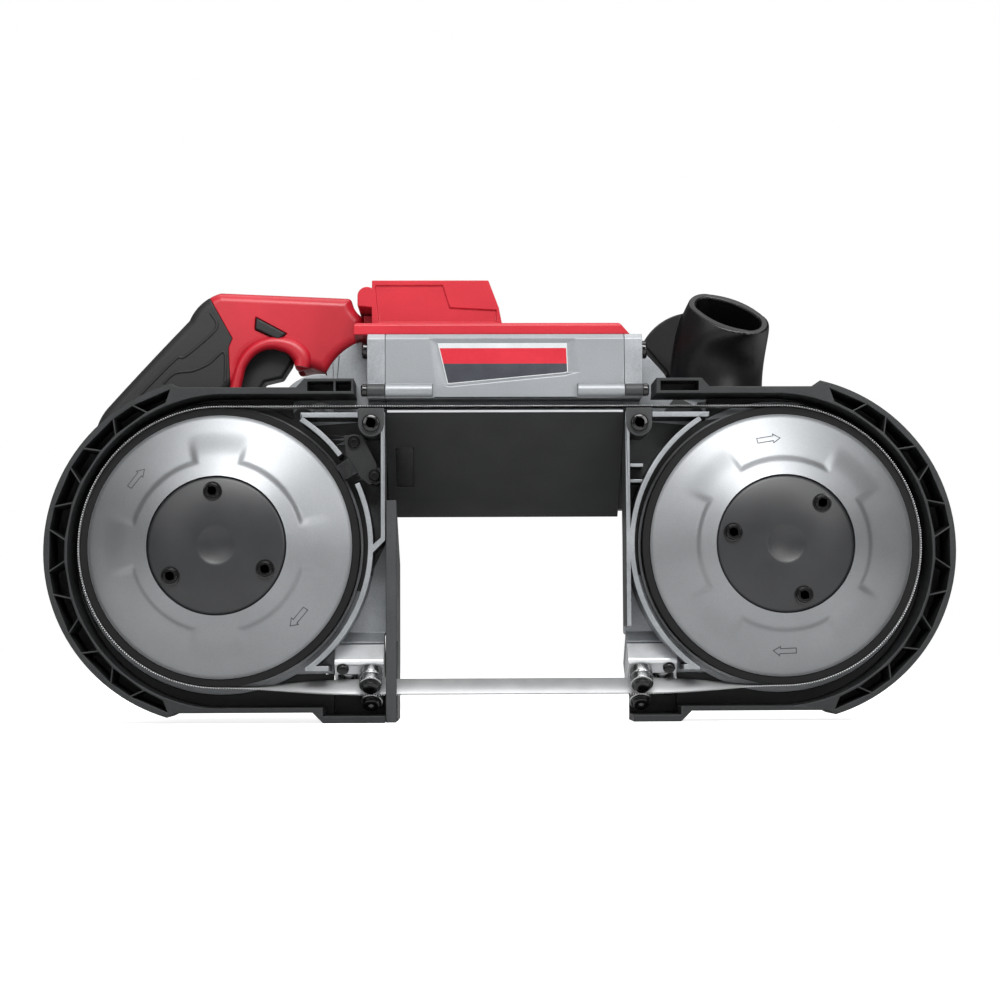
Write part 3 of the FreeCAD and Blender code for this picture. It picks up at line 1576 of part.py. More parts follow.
terminal_left = at_handle(mount_left - 14, 0)[0]
terminal_right = at_handle(mount_right + 14, 0)[0]
terminal_height = 9.0
terminal = box(
    terminal_left,
    terminal_right,
    pocket_front + seat_gap,
    mount_back - 6,
    terminal_bottom,
    terminal_bottom + terminal_height,
)
contact_pitch = 8.0
contact_width = 1.2
contact_height = 10.0
contacts = []
for number in range(5):
    x = (terminal_left + terminal_right) / 2 + (number - 2) * contact_pitch
    contact = box(
        x,
        x + contact_width,
        pocket_front + 8,
        mount_back - 8,
        terminal_bottom + contact_height / 2,
        terminal_bottom + 3 * contact_height / 2,
    )
    terminal = terminal.cut(contact)
    contacts.append(contact)
save("terminal_block", terminal)
save("battery_contacts", *contacts)


# Front handle: a moulded rubber horn on the front arm, with a broad lobe at its foot.
def oval(centre, normal, major, long_half, short_half):
    """A rounded ring of four arcs, square to normal, with its long axis along major."""
    across = normal.cross(major)

    def at(turn):
        return centre + major * (long_half * math.cos(turn)) + across * (short_half * math.sin(turn))

    arcs = []
    for quarter in range(4):
        middle = quarter * math.pi / 2
        points = [at(middle + step * math.pi / 4) for step in (-1, 0, 1)]
        arcs.append(Part.Arc(*points).toShape())
    return Part.Wire(arcs)


horn_x = handle_bolt_x
horn_base = arm_top + seat_gap
horn_depth = handle_bolt_depth - 2
mouth_normal = Vector(0.0, -0.75, 0.66)
mouth_major = Vector(0.815, -0.383, -0.435)
mouth = Vector(horn_x + 7.5, horn_depth - 22, horn_base + 47.5)
horn_rings = [
    oval(Vector(horn_x + 0.5, horn_depth, horn_base), UP, ACROSS, 29.5, 20),
    oval(Vector(horn_x + 1.5, horn_depth - 1, horn_base + 16), UP, ACROSS, 29, 20),
    oval(
        Vector(horn_x + 4, horn_depth - 9, horn_base + 33),
        Vector(0.0, -0.34, 0.94),
        Vector(0.97, -0.22, -0.08),
        28,
        18,
    ),
    oval(mouth, mouth_normal, mouth_major, 25.4, 13.7),
]
horn = Part.makeLoft(horn_rings, True, False)
lobe_points = [
    (front_wall_face + 4.5, bridge_top + 0.8),
    ((front_wall_face + 15.0, bridge_top + 13.0), (front_wall_face + 33.0, bridge_top + 19.4)),
    (front_wall_face + 46.0, bridge_top + 10.0),
    (front_wall_face + 46.0, horn_base),
    (front_wall_face + 25.5, horn_base),
    (front_wall_face + 18.5, bridge_top - 15.5),
]
lobe = side_prism(lobe_points, horn_depth - 9, horn_depth + 17)
arm_room = arm.copy()
arm_room.translate(Vector(body_gap, 0, 0))
front_handle = joined(horn, lobe).cut(arm_room)
cup_depth = 26.0
cup = Part.makeLoft(
    [
        oval(mouth + mouth_normal, mouth_normal, mouth_major, 21.5, 10.0),
        oval(mouth - mouth_normal * cup_depth, mouth_normal, mouth_major, 15.0, 7.0),
    ],
    True,
    True,
)
front_handle = front_handle.cut(cup)
bolt_length = 44.0
front_handle = front_handle.cut(rod(bolt_seat, UP, handle_bolt_shank + running_fit, bolt_length + 0.5))
save("front_handle", front_handle)

# Tension lever: its round cam bears on the carriage, and turning it half round slackens the blade.
lever_reach = 46.0
lever_tip = 8.0
cam_centre = Vector(lever_pivot_x + lever_throw, lever_hub_front, wheel_height)
cam = rod(cam_centre, BACK, lever_radius, lever_arm_front - lever_hub_front + 1)
lever_arm = belt(
    (lever_pivot_x, wheel_height),
    lever_radius - lever_throw - 1,
    (lever_pivot_x, wheel_height - lever_reach + lever_tip),
    lever_tip,
    lever_arm_front,
    lever_back,
)
arm_rims = [edge for edge in lever_arm.Edges if edge.BoundBox.YMin > lever_back - seat_gap]
lever_arm = lever_arm.makeFillet(2.0, arm_rims)
lever = joined(cam, lever_arm)
pivot_hole = rod(
    Vector(lever_pivot_x, lever_hub_front - 1, wheel_height), BACK, lever_pin + running_fit, lever_back
)
save("tension_lever", lever.cut(pivot_hole))
handle_bolt = screw(bolt_seat, UP, handle_bolt_head, handle_bolt_height, handle_bolt_shank, bolt_length)
lever_seat = Vector(lever_pivot_x, lever_back + seat_gap, wheel_height)
lever_screw_head = lever_pin + 2.5
lever_screw = screw(
    lever_seat, BACK * -1, lever_screw_head, frame_screw_height, frame_screw_shank, tab_screw_length
)
save("front_frame_bolts", handle_bolt, lever_screw)


# Shoe: a plate that the work rests against, held by two screws in long slots so that it can be moved up.
shoe_front = plate_front - 21
shoe_rise = wheel_height + 26
shoe_screw_head = 4.0
shoe_start = rear_throat + body_gap
shoe_end = shoe_start + shoe_thickness
shoe_recess = 3.2
blade_slot = blade_width / 2 + 1.2
shoe = end_prism(
    [(shoe_front, 0), (shoe_front, shoe_rise), (shoe_depth, shoe_rise - 34), (shoe_depth, 0)],
    shoe_start,
    shoe_end,
)
shoe = shoe.cut(box(shoe_start - 1, shoe_end + 1, -blade_slot, blade_slot, -1, blade_height + 26))
shoe_screws = []
shoe_shank = shoe_screw_length + 2
for height in shoe_screw_heights:
    for start, radius in ((shoe_start - 1, 2.5), (shoe_end - shoe_recess, shoe_screw_head + 0.5)):
        length = shoe_end + 1 - start
        for drop in (0, shoe_travel):
            shoe = shoe.cut(rod(Vector(start, shoe_screw_depth, height - drop), ACROSS, radius, length))
        slot_front = shoe_screw_depth - radius
        slot = box(start, start + length, slot_front, slot_front + 2 * radius, height - shoe_travel, height)
        shoe = shoe.cut(slot)
    seat = Vector(shoe_end - shoe_recess + body_gap, shoe_screw_depth, height)
    shoe_screws.append(
        screw(seat, ACROSS * -1, shoe_screw_head, small_screw_height, small_screw_shank, shoe_shank)
    )
save("shoe", shoe)
save("shoe_screws", *shoe_screws)
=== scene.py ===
import json
import math

import bmesh
import bpy
from mathutils import Matrix, Vector

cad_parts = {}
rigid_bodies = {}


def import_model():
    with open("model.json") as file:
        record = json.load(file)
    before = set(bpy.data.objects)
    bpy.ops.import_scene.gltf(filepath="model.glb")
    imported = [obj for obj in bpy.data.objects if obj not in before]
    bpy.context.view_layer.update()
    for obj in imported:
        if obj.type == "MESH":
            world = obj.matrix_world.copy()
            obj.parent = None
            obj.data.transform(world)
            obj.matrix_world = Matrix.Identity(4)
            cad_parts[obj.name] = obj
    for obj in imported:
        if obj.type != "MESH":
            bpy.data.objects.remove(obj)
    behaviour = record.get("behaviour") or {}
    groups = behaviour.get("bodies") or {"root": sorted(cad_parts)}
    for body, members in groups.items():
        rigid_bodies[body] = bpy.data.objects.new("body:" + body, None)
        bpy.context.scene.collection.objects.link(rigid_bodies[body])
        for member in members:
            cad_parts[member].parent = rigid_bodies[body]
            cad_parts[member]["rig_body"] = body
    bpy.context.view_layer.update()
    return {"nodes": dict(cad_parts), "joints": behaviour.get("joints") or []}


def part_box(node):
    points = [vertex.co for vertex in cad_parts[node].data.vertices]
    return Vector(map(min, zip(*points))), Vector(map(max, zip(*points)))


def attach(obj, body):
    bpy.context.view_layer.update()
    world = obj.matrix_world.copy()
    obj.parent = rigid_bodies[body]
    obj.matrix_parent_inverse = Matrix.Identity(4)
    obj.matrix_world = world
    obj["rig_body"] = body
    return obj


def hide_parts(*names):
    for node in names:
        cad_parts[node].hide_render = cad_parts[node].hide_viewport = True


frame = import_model()


# End frames. Two die-cast aluminium plates carry the wheels, with ribs round the wheel openings.
# They are shot-blasted after casting, so the ribs, shelves and backs are grey and grainy, with
# brighter rubbed edges. Inside the openings, a dark finish is painted shade for the shadow deep in
# the pockets.
def linear(code):
    """The linear colour of an sRGB hex code."""
    colour = []
    for start in (0, 2, 4):
        share = int(code[start : start + 2], 16) / 255
        colour.append(share / 12.92 if share <= 0.04045 else ((share + 0.055) / 1.055) ** 2.4)
    return colour + [1.0]


def add_node(tree, kind, settings=(), links=()):
    """One shader node, with its settings and its links as (input, other node, output)."""
    node = tree.nodes.new("ShaderNode" + kind)
    for name, value in dict(settings).items():
        if isinstance(name, int) or name in node.inputs:
            node.inputs[name].default_value = value
        else:
            setattr(node, name, value)
    for socket, other, output in links:
        tree.links.new(other.outputs[output], node.inputs[socket])
    return node


def surface(
    name, dark, pale, rough, grain_mm, depth_mm, metallic=0.0, ior=1.5, patch_mm=30.0, worn=None
):
    """A finish whose colour and gloss drift in patches, with a grain depth_mm high and worn, paler
    edges. The real grain is too fine to show in the render, so grain_mm is drawn coarser."""
    grain_share = 0.4
    drift = {"From Min": 0.35, "From Max": 0.65}
    wear = {"From Min": 0.53, "From Max": 0.62, "To Max": 0.7}
    gloss_drift = 0.07
    material = bpy.data.materials.new(name)
    material.use_nodes = True
    tree = material.node_tree
    shader = tree.nodes["Principled BSDF"]
    shader.inputs["Metallic"].default_value = metallic
    shader.inputs["IOR"].default_value = ior
    where = add_node(tree, "TexCoord")
    on_piece = [("Vector", where, "Object")]
    patches = add_node(tree, "TexNoise", {"Scale": 1000 / patch_mm, "Detail": 5.0}, on_piece)
    grain = add_node(tree, "TexNoise", {"Scale": 1000 / grain_mm, "Detail": 3.0}, on_piece)
    blotch = add_node(
        tree,
        "Mix",
        {"data_type": "FLOAT", 0: grain_share},
        [(2, patches, "Fac"), (3, grain, "Fac")],
    )
    spread = add_node(tree, "MapRange", drift, [("Value", blotch, 0)])
    tint = add_node(
        tree,
        "Mix",
        {"data_type": "RGBA", 6: linear(dark), 7: linear(pale)},
        [(0, spread, "Result")],
    )
    colour = tint
    if worn:
        edges = add_node(tree, "NewGeometry")
        rubbed = add_node(tree, "MapRange", wear, [("Value", edges, "Pointiness")])
        colour = add_node(
            tree,
            "Mix",
            {"data_type": "RGBA", 7: linear(worn)},
            [(0, rubbed, "Result"), (6, tint, 2)],
        )
    gloss = {"To Min": rough - gloss_drift, "To Max": rough + gloss_drift}
    shine = add_node(tree, "MapRange", gloss, [("Value", blotch, 0)])
    bump = add_node(
        tree, "Bump", {"Distance": depth_mm / 1000, "Strength": 1.0}, [("Height", grain, "Fac")]
    )
    tree.links.new(colour.outputs[2], shader.inputs["Base Color"])
    tree.links.new(shine.outputs["Result"], shader.inputs["Roughness"])
    tree.links.new(bump.outputs["Normal"], shader.inputs["Normal"])
    return material


crease_angle = 32
weld_distance = 2e-6
sliver_length = 1e-6
level_angle = 0.3
facing_front = -0.9
facing_back = 0.5


def place(name, shape, material, body, nodes=(), sharp=crease_angle):
    """A finished bmesh as a piece that rides on a body and may stand for CAD nodes."""
    mesh = bpy.data.meshes.new(name)
    shape.to_mesh(mesh)
    shape.free()
    mesh.materials.append(material)
    mesh.shade_smooth()
    mesh.set_sharp_from_angle(angle=math.radians(sharp))
    piece = bpy.data.objects.new(name, mesh)
    bpy.context.scene.collection.objects.link(piece)
    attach(piece, body)
    if nodes:
        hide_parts(*nodes)
    return piece


def dressed(node, material, edge_mm, front=None, front_limit=0.0, flat=False):
    """A copy of a CAD node with its sharp edges rounded, which stands for it. Its faces that look
    forward and lie before front_limit may have a finish of their own, and flat joins level faces."""
    shape = bmesh.new()
    shape.from_mesh(frame["nodes"][node].data)
    bmesh.ops.remove_doubles(shape, verts=shape.verts, dist=weld_distance)
    bmesh.ops.dissolve_degenerate(shape, edges=shape.edges, dist=sliver_length)
    if flat:
        bmesh.ops.dissolve_limit(
            shape, angle_limit=math.radians(level_angle), verts=shape.verts, edges=shape.edges
        )
    body = frame["nodes"][node]["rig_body"]
    piece = place(node + "_finish", shape, material, body, (node,))
    bevel = piece.modifiers.new("edges", "BEVEL")
    bevel.width = edge_mm / 1000
    bevel.segments = 2
    bevel.limit_method = "ANGLE"
    bevel.angle_limit = math.radians(crease_angle)
    bevel.use_clamp_overlap = False
    level = piece.modifiers.new("level", "WEIGHTED_NORMAL")
    level.keep_sharp = True
    if front:
        piece.data.materials.append(front)
        for face in piece.data.polygons:
            if face.normal.y < facing_front and face.center.y < front_limit:
                face.material_index = 1
    return piece


# Blasted cast aluminium: a dull, grainy grey metal, rubbed pale along its edges.
cast_aluminium = surface(
    "cast_aluminium", "7A7D80", "909396", rough=0.46, grain_mm=0.9, depth_mm=0.05,
    metallic=0.6, patch_mm=18, worn="BEC0C2",
)
# Painted shade: a dark finish over the same blasted skin, standing in for the shadow inside the
# openings; the grain still shows, and the metal doesn't.
pocket_painted_shade = surface(
    "pocket_painted_shade", "1C1E1F", "2A2C2D", rough=0.5, grain_mm=0.9, depth_mm=0.04, patch_mm=18
)
blade_low, blade_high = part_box("blade")
bare_below = 0.082
bare_above = blade_high.z
shelf_height = 0.0026
rib_lead = 0.00365
rib_slack = 0.0005
proud_slack = 0.0003
rib_face = blade_low.y - rib_lead
# Bare metal on the front ribs, shelves, backs and faces below bare_below or above the blade's top;
# the painted shade on the other faces inside the openings and on faces standing proud of the ribs.
for node in ("rear_frame", "front_frame"):
    casting = dressed(
        node, pocket_painted_shade, edge_mm=0.4, front=cast_aluminium, front_limit=rib_face + rib_slack
    )
    for face in casting.data.polygons:
        height = face.center.z
        if face.center.y < rib_face - proud_slack:
            face.material_index = 0
        elif height < bare_below or height > bare_above or face.normal.y > facing_back:
            face.material_index = 1
        elif face.normal.y < facing_front:
            corners = [casting.data.vertices[number].co for number in face.vertices]
            tall = max(corner.z for corner in corners) - min(corner.z for corner in corners)
            wide = max(corner.x for corner in corners) - min(corner.x for corner in corners)
            if tall < shelf_height and wide > 2 * shelf_height:
                face.material_index = 1


# Frame screws. Black socket-head screws hold the two tabs beside the throat and the tyre brush.
# They are forged, blackened and lightly oiled.
rim_points = 28
socket_points = 6
socket_share = 0.4
socket_lifts = (0.96, 0.5)


def loop_of(shape, centre, out, radius, lift, count):
    """The edges of a ring of count points, square to out."""
    turn = Vector(out).to_track_quat("Z", "Y").to_matrix().to_4x4()
    spot = Matrix.Translation(Vector(centre) + Vector(out) * lift) @ turn
    made = bmesh.ops.create_circle(
        shape, cap_ends=False, segments=count, radius=radius, matrix=spot
    )
    return list(dict.fromkeys(edge for vert in made["verts"] for edge in vert.link_edges))


def socket_screw(shape, seat, out, head, height, collar=1.0):
    """A round screw head on its seat, with a domed rim and a hexagon socket, and maybe a wider
    collar at its foot, used as a dark ring of painted shade.
    """
    outside = (
        (collar, 0.0),
        (collar, 0.52),
        (1.0, 0.54),
        (1.0, 0.7),
        (0.94, 0.88),
        (0.82, 1.0),
        (0.56, 1.0),
    )
    loops = []
    for wide, lift in outside:
        loops.append(loop_of(shape, seat, out, head * wide, height * lift, rim_points))
    for lift in socket_lifts:
        loops.append(loop_of(shape, seat, out, head * socket_share, height * lift, socket_points))
    for first, second in zip(loops, loops[1:]):
        bmesh.ops.bridge_loops(shape, edges=first + second)
    for end in (loops[0], loops[-1]):
        bmesh.ops.contextual_create(shape, geom=end)
    bmesh.ops.recalc_face_normals(shape, faces=shape.faces)


def round_axle(axle, radius, turn):
    """The (x, z) of a point on a circle about an axle along Y."""
    return axle[0] + radius * math.cos(turn), axle[1] + radius * math.sin(turn)


# Black oxide on oiled steel: nearly black and smooth, so the rims and socket walls glint.
black_oxide = surface(
    "black_oxide", "060607", "0D0D0E", rough=0.17, grain_mm=0.5, depth_mm=0.003, patch_mm=5
)
blade_plane = (blade_low.y + blade_high.y) / 2
liner_low, liner_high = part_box("throat_liner")
tyre_low, tyre_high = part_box("drive_tyre")
drive_axle = ((tyre_low.x + tyre_high.x) / 2, (tyre_low.z + tyre_high.z) / 2)
tyre_radius = (tyre_high.x - tyre_low.x) / 2
forward = Vector((0, -1, 0))
tab_drop = 0.0106
tab_inset = 0.0081
tab_lead = 0.0105
tab_head, tab_head_height = 0.005, 0.003
brush_screw_circle = tyre_radius + 0.017
brush_screw_lead = 0.0031
brush_screw_angles = (38.2, 24.8)
brush_head, brush_head_height = 0.0034, 0.0026
screws = bmesh.new()
for x in (liner_low.x - tab_inset, liner_high.x + tab_inset):
    spot = Vector((x, blade_plane - tab_lead, blade_high.z - tab_drop))
    socket_screw(screws, spot, forward, tab_head, tab_head_height)
for angle in brush_screw_angles:
    x, z = round_axle(drive_axle, brush_screw_circle, math.radians(angle))
    spot = Vector((x, blade_plane - brush_screw_lead, z))
    socket_screw(screws, spot, forward, brush_head, brush_head_height)
place("frame_socket_screws", screws, black_oxide, "root", ("frame_screws",))


# Gear case and bearings. The case is cast aluminium like the frames, shut by a flat cover, and holds
# ground steel bearings and machined gears and shafts in grease.
def coat(node, material):
    """Gives a CAD node that shows as it is its finish."""
    mesh = frame["nodes"][node].data
    mesh.materials.clear()
    mesh.materials.append(material)
    mesh.shade_smooth()
    mesh.set_sharp_from_angle(angle=math.radians(crease_angle))


for node in ("gear_case", "gear_case_cover"):
    dressed(node, cast_aluminium, edge_mm=0.6)
# Ground bearing steel: bright and smooth, so it mirrors its surroundings softly.
ground_steel = surface(
    "ground_steel", "8E8F90", "B4B5B6", rough=0.24, grain_mm=0.7, depth_mm=0.004,
    metallic=1.0, patch_mm=8,
)
# Turned and hobbed steel: a duller grey, with tool marks that blur what it mirrors.
machined_steel = surface(
    "machined_steel", "77787A", "98999B", rough=0.34, grain_mm=0.5, depth_mm=0.008,
    metallic=1.0, patch_mm=10,
)
for node in ("ball_bearings", "idler_bearings"):
    coat(node, ground_steel)
for node in (
    "bevel_gear",
    "bevel_pinion",
    "first_layshaft",
    "first_gear",
    "second_layshaft",
    "final_gear",
    "drive_spindle",
    "tension_carriage",
):
    coat(node, machined_steel)


# Motor and electronics. A brushless motor lies along the bridge, with a moulded fan on its shaft,
# and a circuit board beside it drives the windings. The housing encloses them, so none shows.

# Stacked, lacquered iron sheets: dark grey with a soft metal shine.
motor_iron = surface(
    "motor_iron", "3E3F41", "5A5B5D", rough=0.42, grain_mm=0.6, depth_mm=0.01,
    metallic=0.9, patch_mm=12,
)
# Moulded nylon: plain black with a satin skin.
fan_nylon = surface("fan_nylon", "1B1B1C", "262627", rough=0.5, grain_mm=0.8, depth_mm=0.02)
# Fibreglass board under green lacquer: dark green and glossy.
circuit_board = surface(
    "circuit_board", "0E3A24", "175236", rough=0.3, grain_mm=1.2, depth_mm=0.02, patch_mm=6
)
for node in ("motor_stator", "motor_rotor"):
    coat(node, motor_iron)
coat("motor_fan", fan_nylon)
coat("control_board", circuit_board)


# Bridge. A hollow cast aluminium housing over the upper run of the blade holds the motor and joins
# the two end frames, to which black screws fix it.

# Blasted, clear-coated aluminium: an even silver grey with a satin shine.
bridge_casting = surface(
    "bridge_casting", "7B7E81", "888B8E", rough=0.46, grain_mm=0.8, depth_mm=0.03,
    metallic=0.55, patch_mm=60, worn="A8ABAD",
)
dressed("bridge_housing", bridge_casting, edge_mm=0.5)
for node in ("bridge_screws", "guide_screws", "handle_screws", "front_frame_bolts"):
    dressed(node, black_oxide, edge_mm=0.3)


# Rating plate. A printed aluminium plate is glued into the bridge's sloped recess, with a pale
# strip, a red band and a dark band.
def banded_plate(name, corners, y, thickness, border, bands):
    """A flat plate through (x, z) corners, in bands of (lowest z, material) from the top down."""
    shape = bmesh.new()
    face = shape.faces.new([shape.verts.new((x, y, z)) for x, z in corners])
    face.normal_update()
    bmesh.ops.inset_region(
        shape, faces=[face], thickness=border, use_boundary=True, use_even_offset=True
    )
    margin = [other for other in shape.faces if other is not face]
    lowest = [low for low, finish in bands]
    for low in lowest[:-1]:
        inside = [one for one in shape.faces if one not in margin]
        geom = shape.verts[:] + shape.edges[:] + inside
        bmesh.ops.bisect_plane(shape, geom=geom, plane_co=(0, y, low), plane_no=(0, 0, 1))
        margin = [one for one in margin if one.is_valid]
    tops = shape.faces[:]
    for one in tops:
        middle = one.calc_center_median().z
        one.material_index = next(band for band, low in enumerate(lowest) if middle > low)
    for one in margin:
        one.material_index = 0
    made = bmesh.ops.extrude_face_region(shape, geom=tops)
    raised = [item for item in made["geom"] if isinstance(item, bmesh.types.BMVert)]
    bmesh.ops.translate(shape, verts=raised, vec=(0, -thickness, 0))
    bmesh.ops.recalc_face_normals(shape, faces=shape.faces)
    plate = place(name, shape, bands[0][1], "root")
    for low, finish in bands[1:]:
        plate.data.materials.append(finish)


# Printed aluminium under a clear film: flat, even colours with a little gloss.
label_silver = surface(
    "label_silver", "B9BBBD", "C6C8CA", rough=0.35, grain_mm=0.7, depth_mm=0.004,
    metallic=0.3, patch_mm=12,
)
label_red = surface(
    "label_red", "A81525", "B41B2B", rough=0.34, grain_mm=0.7, depth_mm=0.004, patch_mm=12
)
label_slate = surface(
    "label_slate", "2A2C33", "34363D", rough=0.36, grain_mm=0.7, depth_mm=0.004, patch_mm=12
)
plate_left = liner_low.x + 0.0297
plate_right = liner_high.x - 0.0327
plate_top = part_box("bridge_housing")[1].z - 0.0055
plate_thickness = 0.0004
plate_border = 0.0005
strip_bottom = plate_top - 0.0029
band_bottom = plate_top - 0.0118
recess_floor = blade_plane - 0.0065
plate_outline = [
    (plate_left, plate_top),
    (plate_right, plate_top),
    (plate_right + 0.0006, plate_top - 0.0169),
    (plate_right - 0.0018, plate_top - 0.0174),
    (plate_left + 0.0075, plate_top - 0.0234),
    (plate_left + 0.0056, plate_top - 0.0234),
]
banded_plate(
    "rating_plate",
    plate_outline,
    recess_floor,
    plate_thickness,
    plate_border,
    [(strip_bottom, label_silver), (band_bottom, label_red), (0.0, label_slate)],
)


# Throat liner and work light. A moulded black plate lies across the cut, square to the feed, below
# a bare lip of the casting. A small clear lens near its rear end covers the work light.

# Moulded glass-filled nylon: black with a dull skin, scuffed grey along its edges.
black_nylon = surface(
    "black_nylon", "101112", "1C1D1E", rough=0.5, grain_mm=0.8, depth_mm=0.03,
    ior=1.38, patch_mm=24, worn="3A3B3D",
)
dressed("throat_liner", black_nylon, edge_mm=0.4)
lip_height = 0.0012
lip_drop = 0.0036
lip_depth = 0.0006
lip_gap = 0.002
lip_size = (liner_high.x - liner_low.x - lip_gap, 2 * lip_depth, lip_height)
lip_at = ((liner_low.x + liner_high.x) / 2, liner_low.y, blade_high.z - lip_drop)
lip = bmesh.new()
bmesh.ops.create_cube(lip, size=1.0)
bmesh.ops.scale(lip, vec=lip_size, verts=lip.verts)
bmesh.ops.translate(lip, vec=lip_at, verts=lip.verts)
place("throat_lip", lip, cast_aluminium, "root")
# Moulded polycarbonate over a dark well: glossy, and nearly black with the light off.
clear_lens = surface(
    "clear_lens", "0B0C0D", "161718", rough=0.2, grain_mm=0.9, depth_mm=0.01, patch_mm=6
)
coat("work_light_lens", clear_lens)


# Wheels. Conical die-cast discs have a raised middle and four broad spokes. They are painted silver
# grey and carry a rubber tyre, a moulded hub cap on three screws, and two outlined turning arrows.
seam_weld = 1e-6


def lathe(points, axle, steps):
    """An outline of (radius, y) points turned about a line along Y."""
    shape = bmesh.new()
    dots = [shape.verts.new((axle[0] + radius, y, axle[1])) for radius, y in points]
    lines = [shape.edges.new(pair) for pair in zip(dots, dots[1:])]
    bmesh.ops.spin(
        shape,
        geom=dots + lines,
        cent=(axle[0], 0, axle[1]),
        axis=(0, 1, 0),
        angle=math.tau,
        steps=steps,
        use_merge=True,
    )
    bmesh.ops.remove_doubles(shape, verts=shape.verts, dist=seam_weld)
    bmesh.ops.recalc_face_normals(shape, faces=shape.faces)
    return shape


def ease(value, low, high):
    """Goes from 0 at low to 1 at high, with soft ends."""
    share = min(max((value - low) / (high - low), 0), 1)
    return share * share * (3 - 2 * share)


disc_front = blade_plane - 0.020
disc_edge = blade_plane - 0.005
disc_back = blade_plane + 0.0095
disc_inner = 0.0391
disc_outer = tyre_radius - 0.0045
disc_rings = 44
disc_steps = 256
disc_crease = 25
roll_width = 0.0015
roll_depth = 0.0004
hub_seat = disc_front + 0.003
flange_step = 0.0013
flange_front = disc_back - 0.0025
bore_gap = 0.00005
relief_rise = 0.0013
middle_radius = 0.0485
middle_soft = 0.0018
relief_limit = disc_edge + 0.002
relief_slack = 1e-5
spoke_half_angle = 15.0
spoke_soft = 2.5
spoke_fade = (0.050, 0.066)


def disc_depth(radius):
    """Where the cone of the disc lies, with its outer edge rolled back."""
    share = (radius - disc_inner) / (disc_outer - disc_inner)
    roll = ease(radius, disc_outer - roll_width, disc_outer) * roll_depth
    return disc_front + share * (disc_edge - disc_front) + roll


def relief(radius, angle, spoke_angle):
    """How far the raised middle and spokes stand out, from 0 to 1."""
    off = abs((angle - spoke_angle + 45) % 90 - 45)
    side = 1 - ease(off, spoke_half_angle - spoke_soft, spoke_half_angle + spoke_soft)
    spoke = side * (1 - ease(radius, *spoke_fade))
    return max(1 - ease(radius, middle_radius - middle_soft, middle_radius + middle_soft), spoke)


arrow_radius = 0.0605
arrow_lift = 0.00022
arrow_line = 0.0004
arrow_ink = 0.0001


def arrow_outline(shape, axle, angle):
    """An outlined arrow that points the way the wheel turns, raised from the disc."""
    half_length, half_shaft, half_head, neck = 0.0068, 0.0016, 0.0030, 0.0024
    corners = [
        (-half_length, -half_shaft),
        (neck, -half_shaft),
        (neck, -half_head),
        (half_length, 0),
        (neck, half_head),
        (neck, half_shaft),
        (-half_length, half_shaft),
    ]
    dots = []
    for along, out in corners:
        radius = arrow_radius + out
        x, z = round_axle(axle, radius, math.radians(angle) - along / arrow_radius)
        dots.append(shape.verts.new((x, disc_depth(radius) - arrow_lift, z)))
    face = shape.faces.new(dots)
    face.normal_update()
    bmesh.ops.inset_region(
        shape, faces=[face], thickness=arrow_line, use_boundary=True, use_even_offset=True
    )
    bmesh.ops.delete(shape, geom=[face], context="FACES")


# Silver paint on cast aluminium: an even metallic grey with a broad satin shine.
wheel_paint = surface(
    "wheel_paint", "7E8082", "888A8C", rough=0.43, grain_mm=0.9, depth_mm=0.012,
    metallic=0.8, patch_mm=40,
)
# Printed ink: a flat dark grey.
arrow_grey = surface("arrow_grey", "2C2E30", "3A3C3E", rough=0.5, grain_mm=0.8, depth_mm=0.01)
# Moulded rubber: deep black that gives back hardly any light.
tyre_rubber = surface(
    "tyre_rubber", "070708", "0E0E0F", rough=0.6, grain_mm=0.7, depth_mm=0.03, ior=1.3
)
